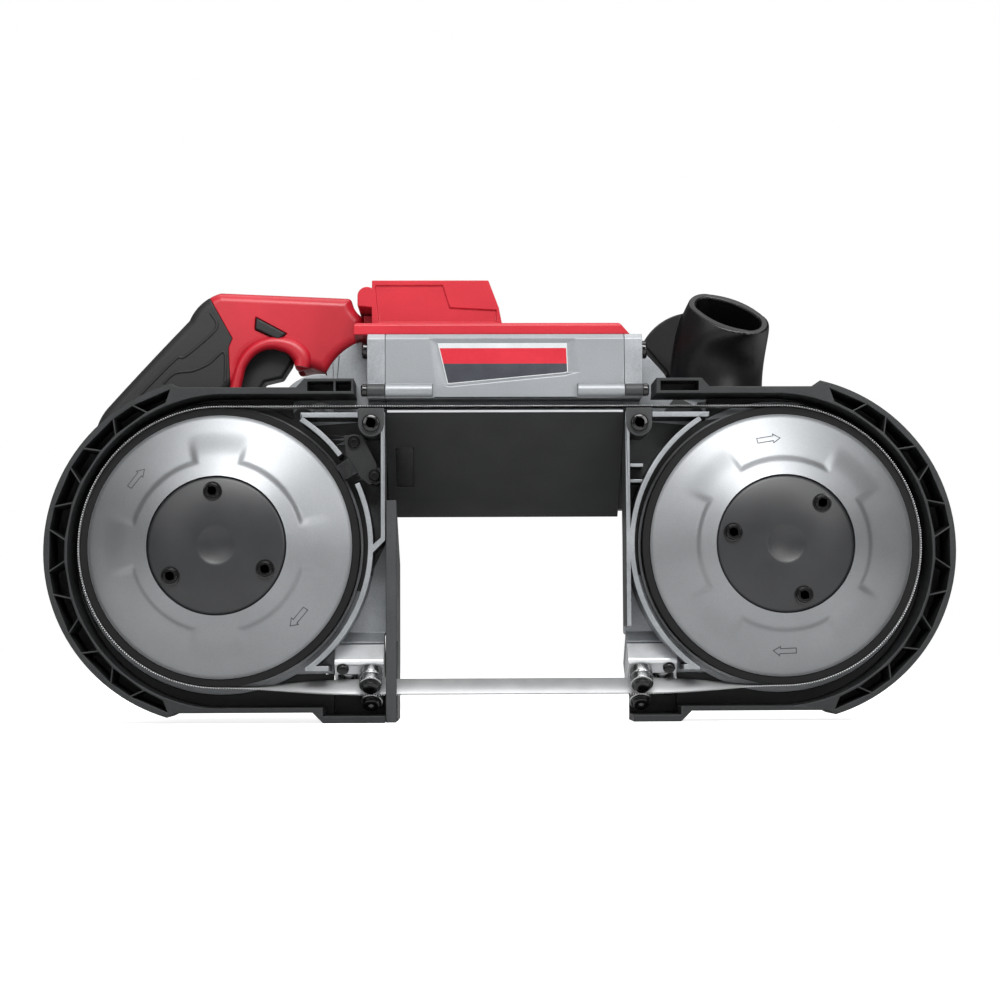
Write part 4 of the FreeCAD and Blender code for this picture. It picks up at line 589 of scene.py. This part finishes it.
# Moulded ABS: dark grey with a soft sheen on the cone.
cap_plastic = surface(
    "cap_plastic", "17181A", "1F2022", rough=0.4, grain_mm=0.7, depth_mm=0.02, patch_mm=20
)
cap_steps = 96
cap_crease = 50
cap_screw_circle = 0.0305
cap_screw_sink = 0.0030
# The cap screws stand on a wider black collar: painted shade, a dark ring standing in for the shadow
# of a counterbore round each head.
cap_head, cap_head_height, cap_shade_ring = 0.0044, 0.0042, 1.2
for end, bore_node, spoke_angle, screw_angles, arrow_angles in (
    ("drive", "drive_spindle", 0, (94, 214, 334), (140, 318)),
    ("idler", "idler_bearings", 45, (48, 168, 288), (97, 270)),
):
    low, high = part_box(end + "_tyre")
    axle = ((low.x + high.x) / 2, (low.z + high.z) / 2)
    flange = (high.x - low.x) / 2 + flange_step
    bore_low, bore_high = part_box(bore_node)
    bore = (bore_high.x - bore_low.x) / 2 + bore_gap
    step = (disc_outer - disc_inner) / disc_rings
    radii = [disc_inner + step * ring for ring in range(disc_rings + 1)]
    disc_outline = [
        (bore, hub_seat),
        (disc_inner, hub_seat),
        *[(radius, disc_depth(radius)) for radius in radii],
        (disc_outer, flange_front),
        (flange, flange_front),
        (flange, disc_back),
        (bore, disc_back),
        (bore, hub_seat),
    ]
    disc = lathe(disc_outline, axle, disc_steps)
    for vert in disc.verts:
        out = Vector((vert.co.x - axle[0], vert.co.z - axle[1]))
        on_cone = disc_inner - relief_slack < out.length < disc_outer + relief_slack
        if on_cone and vert.co.y < relief_limit:
            angle = math.degrees(math.atan2(out.y, out.x))
            vert.co.y -= relief_rise * relief(out.length, angle, spoke_angle)
    wheel = (end + "_wheel",)
    place(end + "_disc", disc, wheel_paint, end, wheel, sharp=disc_crease)
    arrows = bmesh.new()
    for angle in arrow_angles:
        arrow_outline(arrows, axle, angle)
    printed = place(end + "_turning_arrows", arrows, arrow_grey, end)
    ink = printed.modifiers.new("print_height", "SOLIDIFY")
    ink.thickness = arrow_ink
    dressed(end + "_tyre", tyre_rubber, edge_mm=0.4)
    cap = end + "_hub_cap"
    cap_low, cap_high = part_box(cap)
    cap_rim = (cap_high.x - cap_low.x) / 2
    cap_outline = [
        (0, cap_low.y + 0.0009),
        (0.0088, cap_low.y + 0.0009),
        (0.0100, cap_low.y + 0.0002),
        (0.0116, cap_low.y),
        (0.0240, cap_low.y + 0.0010),
        (cap_rim - 0.0022, cap_low.y + 0.0030),
        (cap_rim - 0.0007, cap_low.y + 0.0036),
        (cap_rim, cap_low.y + 0.0046),
        (cap_rim, cap_high.y),
        (0, cap_high.y),
    ]
    cone = lathe(cap_outline, axle, cap_steps)
    place(end + "_cap_cone", cone, cap_plastic, end, (cap,), sharp=cap_crease)
    screws = bmesh.new()
    for angle in screw_angles:
        x, z = round_axle(axle, cap_screw_circle, math.radians(angle))
        seat = (x, cap_low.y + cap_screw_sink, z)
        socket_screw(screws, seat, forward, cap_head, cap_head_height, cap_shade_ring)
    replaced = (end + "_cap_screws",)
    place(end + "_cap_socket_screws", screws, black_oxide, end, replaced)


# Blade. A welded loop of spring-steel strip with milled teeth along its front edge; the lower run is
# twisted by the guides so that the teeth point down and forward.

# Rolled spring steel: pale grey, with a broad, dull shine along the strip.
blade_steel = surface(
    "blade_steel", "A6A7A8", "B6B7B8", rough=0.52, grain_mm=0.6, depth_mm=0.004,
    metallic=0.45, patch_mm=14,
)
# Painted shade: a dark blue-grey on the gullet faces between the teeth, standing in for the shade in
# the notches.
gullet_painted_shade = surface(
    "gullet_painted_shade", "1E1F22", "2C2D31", rough=0.36, grain_mm=0.6, depth_mm=0.004,
    metallic=0.6, patch_mm=9,
)
# Painted highlight: a pale finish on the tooth tips, so each shows as a bright dot standing in for
# its glint.
tooth_tip_painted_glint = surface(
    "tooth_tip_painted_glint", "D2D3D4", "E4E5E6", rough=0.35, grain_mm=0.6, depth_mm=0.004,
    metallic=0.4, patch_mm=9,
)
blade_thickness = 0.0005
blade_twist = math.radians(45)
half_width = (blade_high.y - blade_low.y) / 2
half_spacing = -drive_axle[0]
axle_height = drive_axle[1]
loop_radius = blade_high.z - blade_thickness / 2 - axle_height
lower_run = axle_height - loop_radius
run_length = 2 * half_spacing
turn_length = math.pi * loop_radius
loop_length = 2 * (run_length + turn_length)
tooth_pitch = 0.00141
tooth_depth = 0.0009
rake_share, tip_share, slope_share = 0.12, 0.25, 0.62
tooth_count = round(loop_length / tooth_pitch)
guide_x = {}
for joint in frame["joints"]:
    for side, end in ((-1, "rear"), (1, "front")):
        if joint["name"] == end + "_upper_roller_spin":
            guide_x[side] = joint["pos_m"][0]


def blade_point(share, up):
    """A point of the loop: how far along it, as a share, and how far from its middle to its back."""
    travel = (share % 1) * loop_length
    if travel < run_length:
        return (travel - half_spacing, blade_plane + up, axle_height + loop_radius)
    travel -= run_length
    if travel < turn_length:
        turn = math.pi / 2 - travel / loop_radius
        x, z = round_axle((half_spacing, axle_height), loop_radius, turn)
        return (x, blade_plane + up, z)
    travel -= turn_length
    if travel < run_length:
        x = half_spacing - travel
        side = 1 if x > 0 else -1
        span = side * (side * half_spacing - guide_x[side])
        twist = blade_twist * ease(side * (side * half_spacing - x), 0, span)
        return (x, blade_plane + up * math.cos(twist), lower_run + up * math.sin(twist))
    travel -= run_length
    turn = -math.pi / 2 - travel / loop_radius
    x, z = round_axle((-half_spacing, axle_height), loop_radius, turn)
    return (x, blade_plane + up, z)


strip = bmesh.new()


def blade_dot(tooth, up):
    """A vertex of the strip, tooth pitches along the loop and up from its middle."""
    return strip.verts.new(blade_point(tooth / tooth_count, up))


gullet = tooth_depth - half_width
half_tooth = tooth_depth / 2 - half_width
backs = [blade_dot(tooth, half_width) for tooth in range(tooth_count)]
gullets = [blade_dot(tooth, gullet) for tooth in range(tooth_count)]
for tooth in range(tooth_count):
    after = (tooth + 1) % tooth_count
    rake = blade_dot(tooth + rake_share, half_tooth)
    tip = blade_dot(tooth + tip_share, -half_width)
    slope = blade_dot(tooth + slope_share, half_tooth)
    # Each tooth's gullet face takes the painted shade and its tip the painted highlight.
    strip.faces.new((backs[tooth], backs[after], gullets[after], gullets[tooth]))
    strip.faces.new((gullets[tooth], gullets[after], slope, rake)).material_index = 1
    strip.faces.new((rake, slope, tip)).material_index = 2
toothed = place("toothed_blade", strip, blade_steel, "root", ("blade",))
toothed.data.materials.append(gullet_painted_shade)
toothed.data.materials.append(tooth_tip_painted_glint)
thickness = toothed.modifiers.new("thickness", "SOLIDIFY")
thickness.thickness = blade_thickness
thickness.offset = 0


# Roller guides. A machined block at each side of the throat is screwed under a lug of its frame. Two
# face rollers and a thrust roller of bearing steel turn on its pins, which have blackened heads.

# Machined cast aluminium: pale and satin, with bright edges.
guide_metal = surface(
    "guide_metal", "C2C4C6", "D6D8DA", rough=0.34, grain_mm=0.6, depth_mm=0.01,
    metallic=0.5, patch_mm=10, worn="E6E8E9",
)
for end in ("rear", "front"):
    dressed(end + "_guide_block", guide_metal, edge_mm=0.4)
    for roller in ("upper", "lower", "thrust"):
        dressed(f"{end}_{roller}_roller", ground_steel, edge_mm=0.5)
pin_lift = 0.0058
pin_head, pin_head_height = 0.0046, 0.0024
heads = bmesh.new()
for joint in frame["joints"]:
    if joint["name"].endswith(("upper_roller_spin", "lower_roller_spin")):
        along = Vector(joint["axis"])
        seat = Vector(joint["pos_m"]) - along * pin_lift
        socket_screw(heads, seat, -along, pin_head, pin_head_height)
place("guide_pin_heads", heads, black_oxide, "root")


# Tyre brush. Stiff nylon bristles stand in a moulded black holder, which two screws fix to the rear
# frame, and sweep chips off the drive tyre.

# Drawn nylon thread: black, with paler grey patches along it that are painted glints.
bristle_nylon_painted_glints = surface(
    "bristle_nylon_painted_glints", "0A0A0B", "303133", rough=0.4, grain_mm=0.5, depth_mm=0.01, patch_mm=2
)
dressed("tyre_brush_holder", black_nylon, edge_mm=0.3)
brush_low, brush_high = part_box("tyre_brush")
brush_start = 28.4
brush_sweep = 6.2
brush_margin = 0.0006
bristle_rows = 9
bristle_columns = 10
row_shift = 0.5
bristle_root = tyre_radius + 0.0088
bristle_tip = tyre_radius + 0.0004
bristle_thin, bristle_thick = 0.00032, 0.00045
bristles = bmesh.new()
for row in range(bristle_rows):
    inside = brush_high.y - brush_low.y - 2 * brush_margin
    depth = brush_low.y + brush_margin + inside * row / (bristle_rows - 1)
    for column in range(bristle_columns):
        across = (column + row_shift * (row % 2)) / (bristle_columns - row_shift)
        turn = math.radians(brush_start + brush_sweep * across)
        away = Vector((math.cos(turn), 0, math.sin(turn)))
        axle_point = Vector((drive_axle[0], depth, drive_axle[1]))
        centre = axle_point + away * (bristle_root + bristle_tip) / 2
        bmesh.ops.create_cone(
            bristles,
            cap_ends=True,
            segments=6,
            radius1=bristle_thin,
            radius2=bristle_thick,
            depth=bristle_root - bristle_tip,
            matrix=Matrix.Translation(centre) @ away.to_track_quat("Z", "Y").to_matrix().to_4x4(),
        )
place("brush_bristles", bristles, bristle_nylon_painted_glints, "root", ("tyre_brush",))


# Guards. Moulded nylon channels fit round the outer half of each wheel, stiffened by a crescent of
# open cells, and end in the feet that the saw stands on.

# Painted highlight: the same nylon, a little paler on the forward faces of the front rim, standing
# in for the light those faces catch from the front.
rim_painted_highlight = surface(
    "rim_painted_highlight", "1C1E1F", "262829", rough=0.52, grain_mm=0.8, depth_mm=0.03,
    ior=1.38, patch_mm=24,
)
rim_slack = 0.0005
# The forward faces of each guard's front rim take the painted highlight.
for end in ("rear", "front"):
    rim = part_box(end + "_guard")[0].y + rim_slack
    dressed(end + "_guard", black_nylon, edge_mm=0.45, front=rim_painted_highlight, front_limit=rim)


# Rear handle. Two moulded red halves are screwed together round the trigger, its lock button and the
# switch, with a rubber sleeve over the rear leg. The battery's socket and contacts stand on top.

# Nylon moulded with glass fibre and dyed through: deep red with a satin shine.
red_plastic = surface(
    "red_plastic", "9E0F1F", "AE1425", rough=0.38, grain_mm=0.8, depth_mm=0.015,
    ior=1.45, patch_mm=40,
)
# Soft moulded rubber: matt, nearly black, with a pebbled grain.
grip_rubber = surface(
    "grip_rubber", "121213", "1C1C1D", rough=0.58, grain_mm=0.9, depth_mm=0.09, ior=1.42
)
for node in ("handle_shell_front", "handle_shell_back", "battery_mount"):
    dressed(node, red_plastic, edge_mm=0.5, flat=True)
dressed("rear_grip", grip_rubber, edge_mm=0.5)
ridge_steps = 8
ridge_crease = 60
path_steps = 6


def ridge(shape, points, y, height, sink):
    """A rounded ridge along (x, z, half width) points, on a face that looks forward."""
    rows = []
    for number, (x, z, half_wide) in enumerate(points):
        before = Vector(points[max(number - 1, 0)][:2])
        after = Vector(points[min(number + 1, len(points) - 1)][:2])
        along = (after - before).normalized()
        row = []
        for step in range(ridge_steps + 1):
            turn = math.pi * step / ridge_steps
            reach = half_wide * math.cos(turn)
            rise = (height + sink) * math.sin(turn) - sink
            row.append(shape.verts.new((x - along.y * reach, y - rise, z + along.x * reach)))
        rows.append(row)
    for row, following in zip(rows, rows[1:]):
        for step in range(ridge_steps):
            shape.faces.new((row[step], row[step + 1], following[step + 1], following[step]))
        shape.faces.new((row[-1], row[0], following[0], following[-1]))
    for row in (rows[0], rows[-1]):
        shape.faces.new(row)


def smooth_path(points):
    """A smooth curve through the (x, z, half width) points, from millimetres to metres."""
    path = []
    last = len(points) - 1
    for number in range(last):
        before, start, stop, after = [
            Vector(points[min(max(number + shift, 0), last)]) / 1000 for shift in (-1, 0, 1, 2)
        ]
        for step in range(path_steps):
            share = step / path_steps
            slope = (stop - before) * share
            bend = (2 * before - 5 * start + 4 * stop - after) * share**2
            twist = (3 * start - before - 3 * stop + after) * share**3
            path.append(0.5 * (2 * start + slope + bend + twist))
    path.append(Vector(points[last]) / 1000)
    return [tuple(spot) for spot in path]


grip_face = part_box("rear_grip")[0].y
seam_half_width = 1.0
seam_height, seam_sink = 0.0006, 0.0003
upper_seam = [
    (-170.2, 239.4),
    (-166.3, 231.7),
    (-172.0, 224.4),
    (-185.4, 213.2),
    (-190.9, 211.5),
    (-211.1, 190.8),
]
lower_seam = [
    (-161.5, 198.4),
    (-162.0, 215.9),
    (-171.0, 209.2),
    (-180.0, 205.0),
    (-190.9, 203.4),
    (-197.5, 197.4),
]
seams = bmesh.new()
for seam in (upper_seam, lower_seam):
    seam_path = smooth_path([(x, z, seam_half_width) for x, z in seam])
    ridge(seams, seam_path, grip_face, seam_height, seam_sink)
bmesh.ops.recalc_face_normals(seams, faces=seams.faces)
place("grip_seams", seams, grip_rubber, "root", sharp=ridge_crease)
collar_height, collar_sink = 0.0026, 0.0015
collar_line = [
    (-155.6, 194.0, 3.2),
    (-154.2, 200.5, 3.2),
    (-151.6, 209.0, 3.0),
    (-145.0, 217.4, 3.2),
    (-135.0, 221.4, 3.8),
    (-123.5, 219.6, 4.8),
    (-116.4, 213.4, 5.4),
    (-116.6, 207.2, 4.4),
]
collar = bmesh.new()
ridge(collar, smooth_path(collar_line), grip_face, collar_height, collar_sink)
bmesh.ops.recalc_face_normals(collar, faces=collar.faces)
place("trigger_collar", collar, red_plastic, "root", sharp=ridge_crease)
dressed("trigger", black_nylon, edge_mm=0.4)
dressed("lock_button", black_nylon, edge_mm=0.3)
coat("switch_module", fan_nylon)
coat("terminal_block", fan_nylon)
# Stamped brass: a warm, shiny yellow.
contact_brass = surface(
    "contact_brass", "A8873F", "C9A85C", rough=0.3, grain_mm=0.5, depth_mm=0.004,
    metallic=1.0, patch_mm=5,
)
coat("battery_contacts", contact_brass)


# Front handle and tension lever. A moulded rubber horn is bolted to an arm of the front frame. The
# black lever behind that frame has a round cam and turns half round to slacken the blade.

# Smooth moulded rubber: black, with broad soft highlights.
horn_rubber = surface(
    "horn_rubber", "050506", "0A0A0C", rough=0.34, grain_mm=0.7, depth_mm=0.008,
    ior=1.36, patch_mm=40,
)
dressed("front_handle", horn_rubber, edge_mm=0.8)
dressed("tension_lever", black_nylon, edge_mm=0.5)


# Shoe. The work rests against this steel plate. Two black screws in long slots hold it, so that it
# can be moved up.

# Powder-coated steel: dark grey, with a faint orange-peel skin.
powder_coat = surface(
    "powder_coat", "2C2E30", "3A3C3E", rough=0.45, grain_mm=0.7, depth_mm=0.03, metallic=0.2
)
dressed("shoe", powder_coat, edge_mm=0.5)
dressed("shoe_screws", black_oxide, edge_mm=0.3)


# Stage. The saw stands on a wide sheet of white paper in a white studio, under a large softbox in
# front, another overhead and two small ones at the sides.
def stage_sheet(name, corners, material):
    """A flat sheet through its corners, which belongs to the stage."""
    shape = bmesh.new()
    shape.faces.new([shape.verts.new(corner) for corner in corners])
    mesh = bpy.data.meshes.new(name)
    shape.to_mesh(mesh)
    shape.free()
    mesh.materials.append(material)
    sheet = bpy.data.objects.new(name, mesh)
    bpy.context.scene.collection.objects.link(sheet)


def studio_white(name, glow, albedo):
    """White to the camera, with the shadow on it, and a plain diffuse sheet to everything else."""
    material = bpy.data.materials.new(name)
    material.use_nodes = True
    tree = material.node_tree
    tree.nodes.clear()
    ray = add_node(tree, "LightPath")
    seen = add_node(
        tree,
        "Math",
        {"operation": "MAXIMUM"},
        [(0, ray, "Is Camera Ray"), (1, ray, "Is Transmission Ray")],
    )
    paper = add_node(tree, "BsdfDiffuse", {"Color": albedo})
    glowing = add_node(tree, "Emission", {"Color": (1, 1, 1, 1), "Strength": glow})
    both = add_node(tree, "AddShader", {}, [(0, paper, 0), (1, glowing, 0)])
    mixed = add_node(tree, "MixShader", {}, [(0, seen, 0), (1, paper, 0), (2, both, 0)])
    add_node(tree, "OutputMaterial", {}, [("Surface", mixed, 0)])
    return material


# Matt white paper: no shine, and a soft shadow under the feet.
floor_paper = studio_white("floor_paper", glow=0.82, albedo=(0.8, 0.8, 0.8, 1))
floor_half = 6.0
floor_corners = [
    (-floor_half, -floor_half, 0),
    (floor_half, -floor_half, 0),
    (floor_half, floor_half, 0),
    (-floor_half, floor_half, 0),
]
stage_sheet("floor", floor_corners, floor_paper)

room_light = 0.24
world = bpy.data.worlds.new("studio")
bpy.context.scene.world = world
world.use_nodes = True
sky = world.node_tree
sky.nodes.clear()
ray = add_node(sky, "LightPath")
dim = add_node(sky, "Background", {"Color": (1, 1, 1, 1), "Strength": room_light})
white = add_node(sky, "Background", {"Color": (1, 1, 1, 1), "Strength": 1.0})
mixed = add_node(sky, "MixShader", {}, [(0, ray, "Is Camera Ray"), (1, dim, 0), (2, white, 0)])
add_node(sky, "OutputWorld", {}, [("Surface", mixed, 0)])


def softbox(name, spot, aim, size, watts):
    """A rectangular lamp at a spot, turned towards its aim."""
    light = bpy.data.lights.new(name, "AREA")
    light.shape = "RECTANGLE"
    light.size, light.size_y = size
    light.energy = watts
    lamp = bpy.data.objects.new(name, light)
    lamp.location = spot
    lamp.rotation_euler = (Vector(aim) - Vector(spot)).to_track_quat("-Z", "Y").to_euler()
    bpy.context.scene.collection.objects.link(lamp)


softbox("key_light", (0.0, -1.0, 1.05), aim=(0, 0, 0.12), size=(0.8, 0.45), watts=19)
softbox("left_light", (-0.34, -0.42, 0.34), aim=(0.10, 0, 0.12), size=(0.2, 0.3), watts=0.6)
softbox("right_light", (0.34, -0.42, 0.34), aim=(-0.10, 0, 0.12), size=(0.2, 0.3), watts=1.0)
softbox("top_light", (0, 0.1, 1.5), aim=(0, 0, 0.1), size=(1.4, 0.9), watts=11)


# Camera. It stands at the photograph's viewing angle: low, a little left of the middle, and tilted
# up by four degrees.
camera_distance = 1.1065
camera_depth = -0.032
camera_left = -0.0223
camera_height = 0.0485
pan, tilt, roll = math.radians(-1.125), math.radians(94.0), math.radians(-0.26)
camera_data = bpy.data.cameras.new("camera")
camera_data.lens = 69.88
camera_data.sensor_width = 36
camera = bpy.data.objects.new("camera", camera_data)
camera.location = (camera_left, camera_depth - camera_distance, camera_height)
camera.rotation_euler = (
    Matrix.Rotation(pan, 3, "Z") @ Matrix.Rotation(tilt, 3, "X") @ Matrix.Rotation(roll, 3, "Z")
).to_euler()
bpy.context.scene.collection.objects.link(camera)
bpy.context.scene.camera = camera
bpy.context.scene.view_settings.view_transform = "Standard"
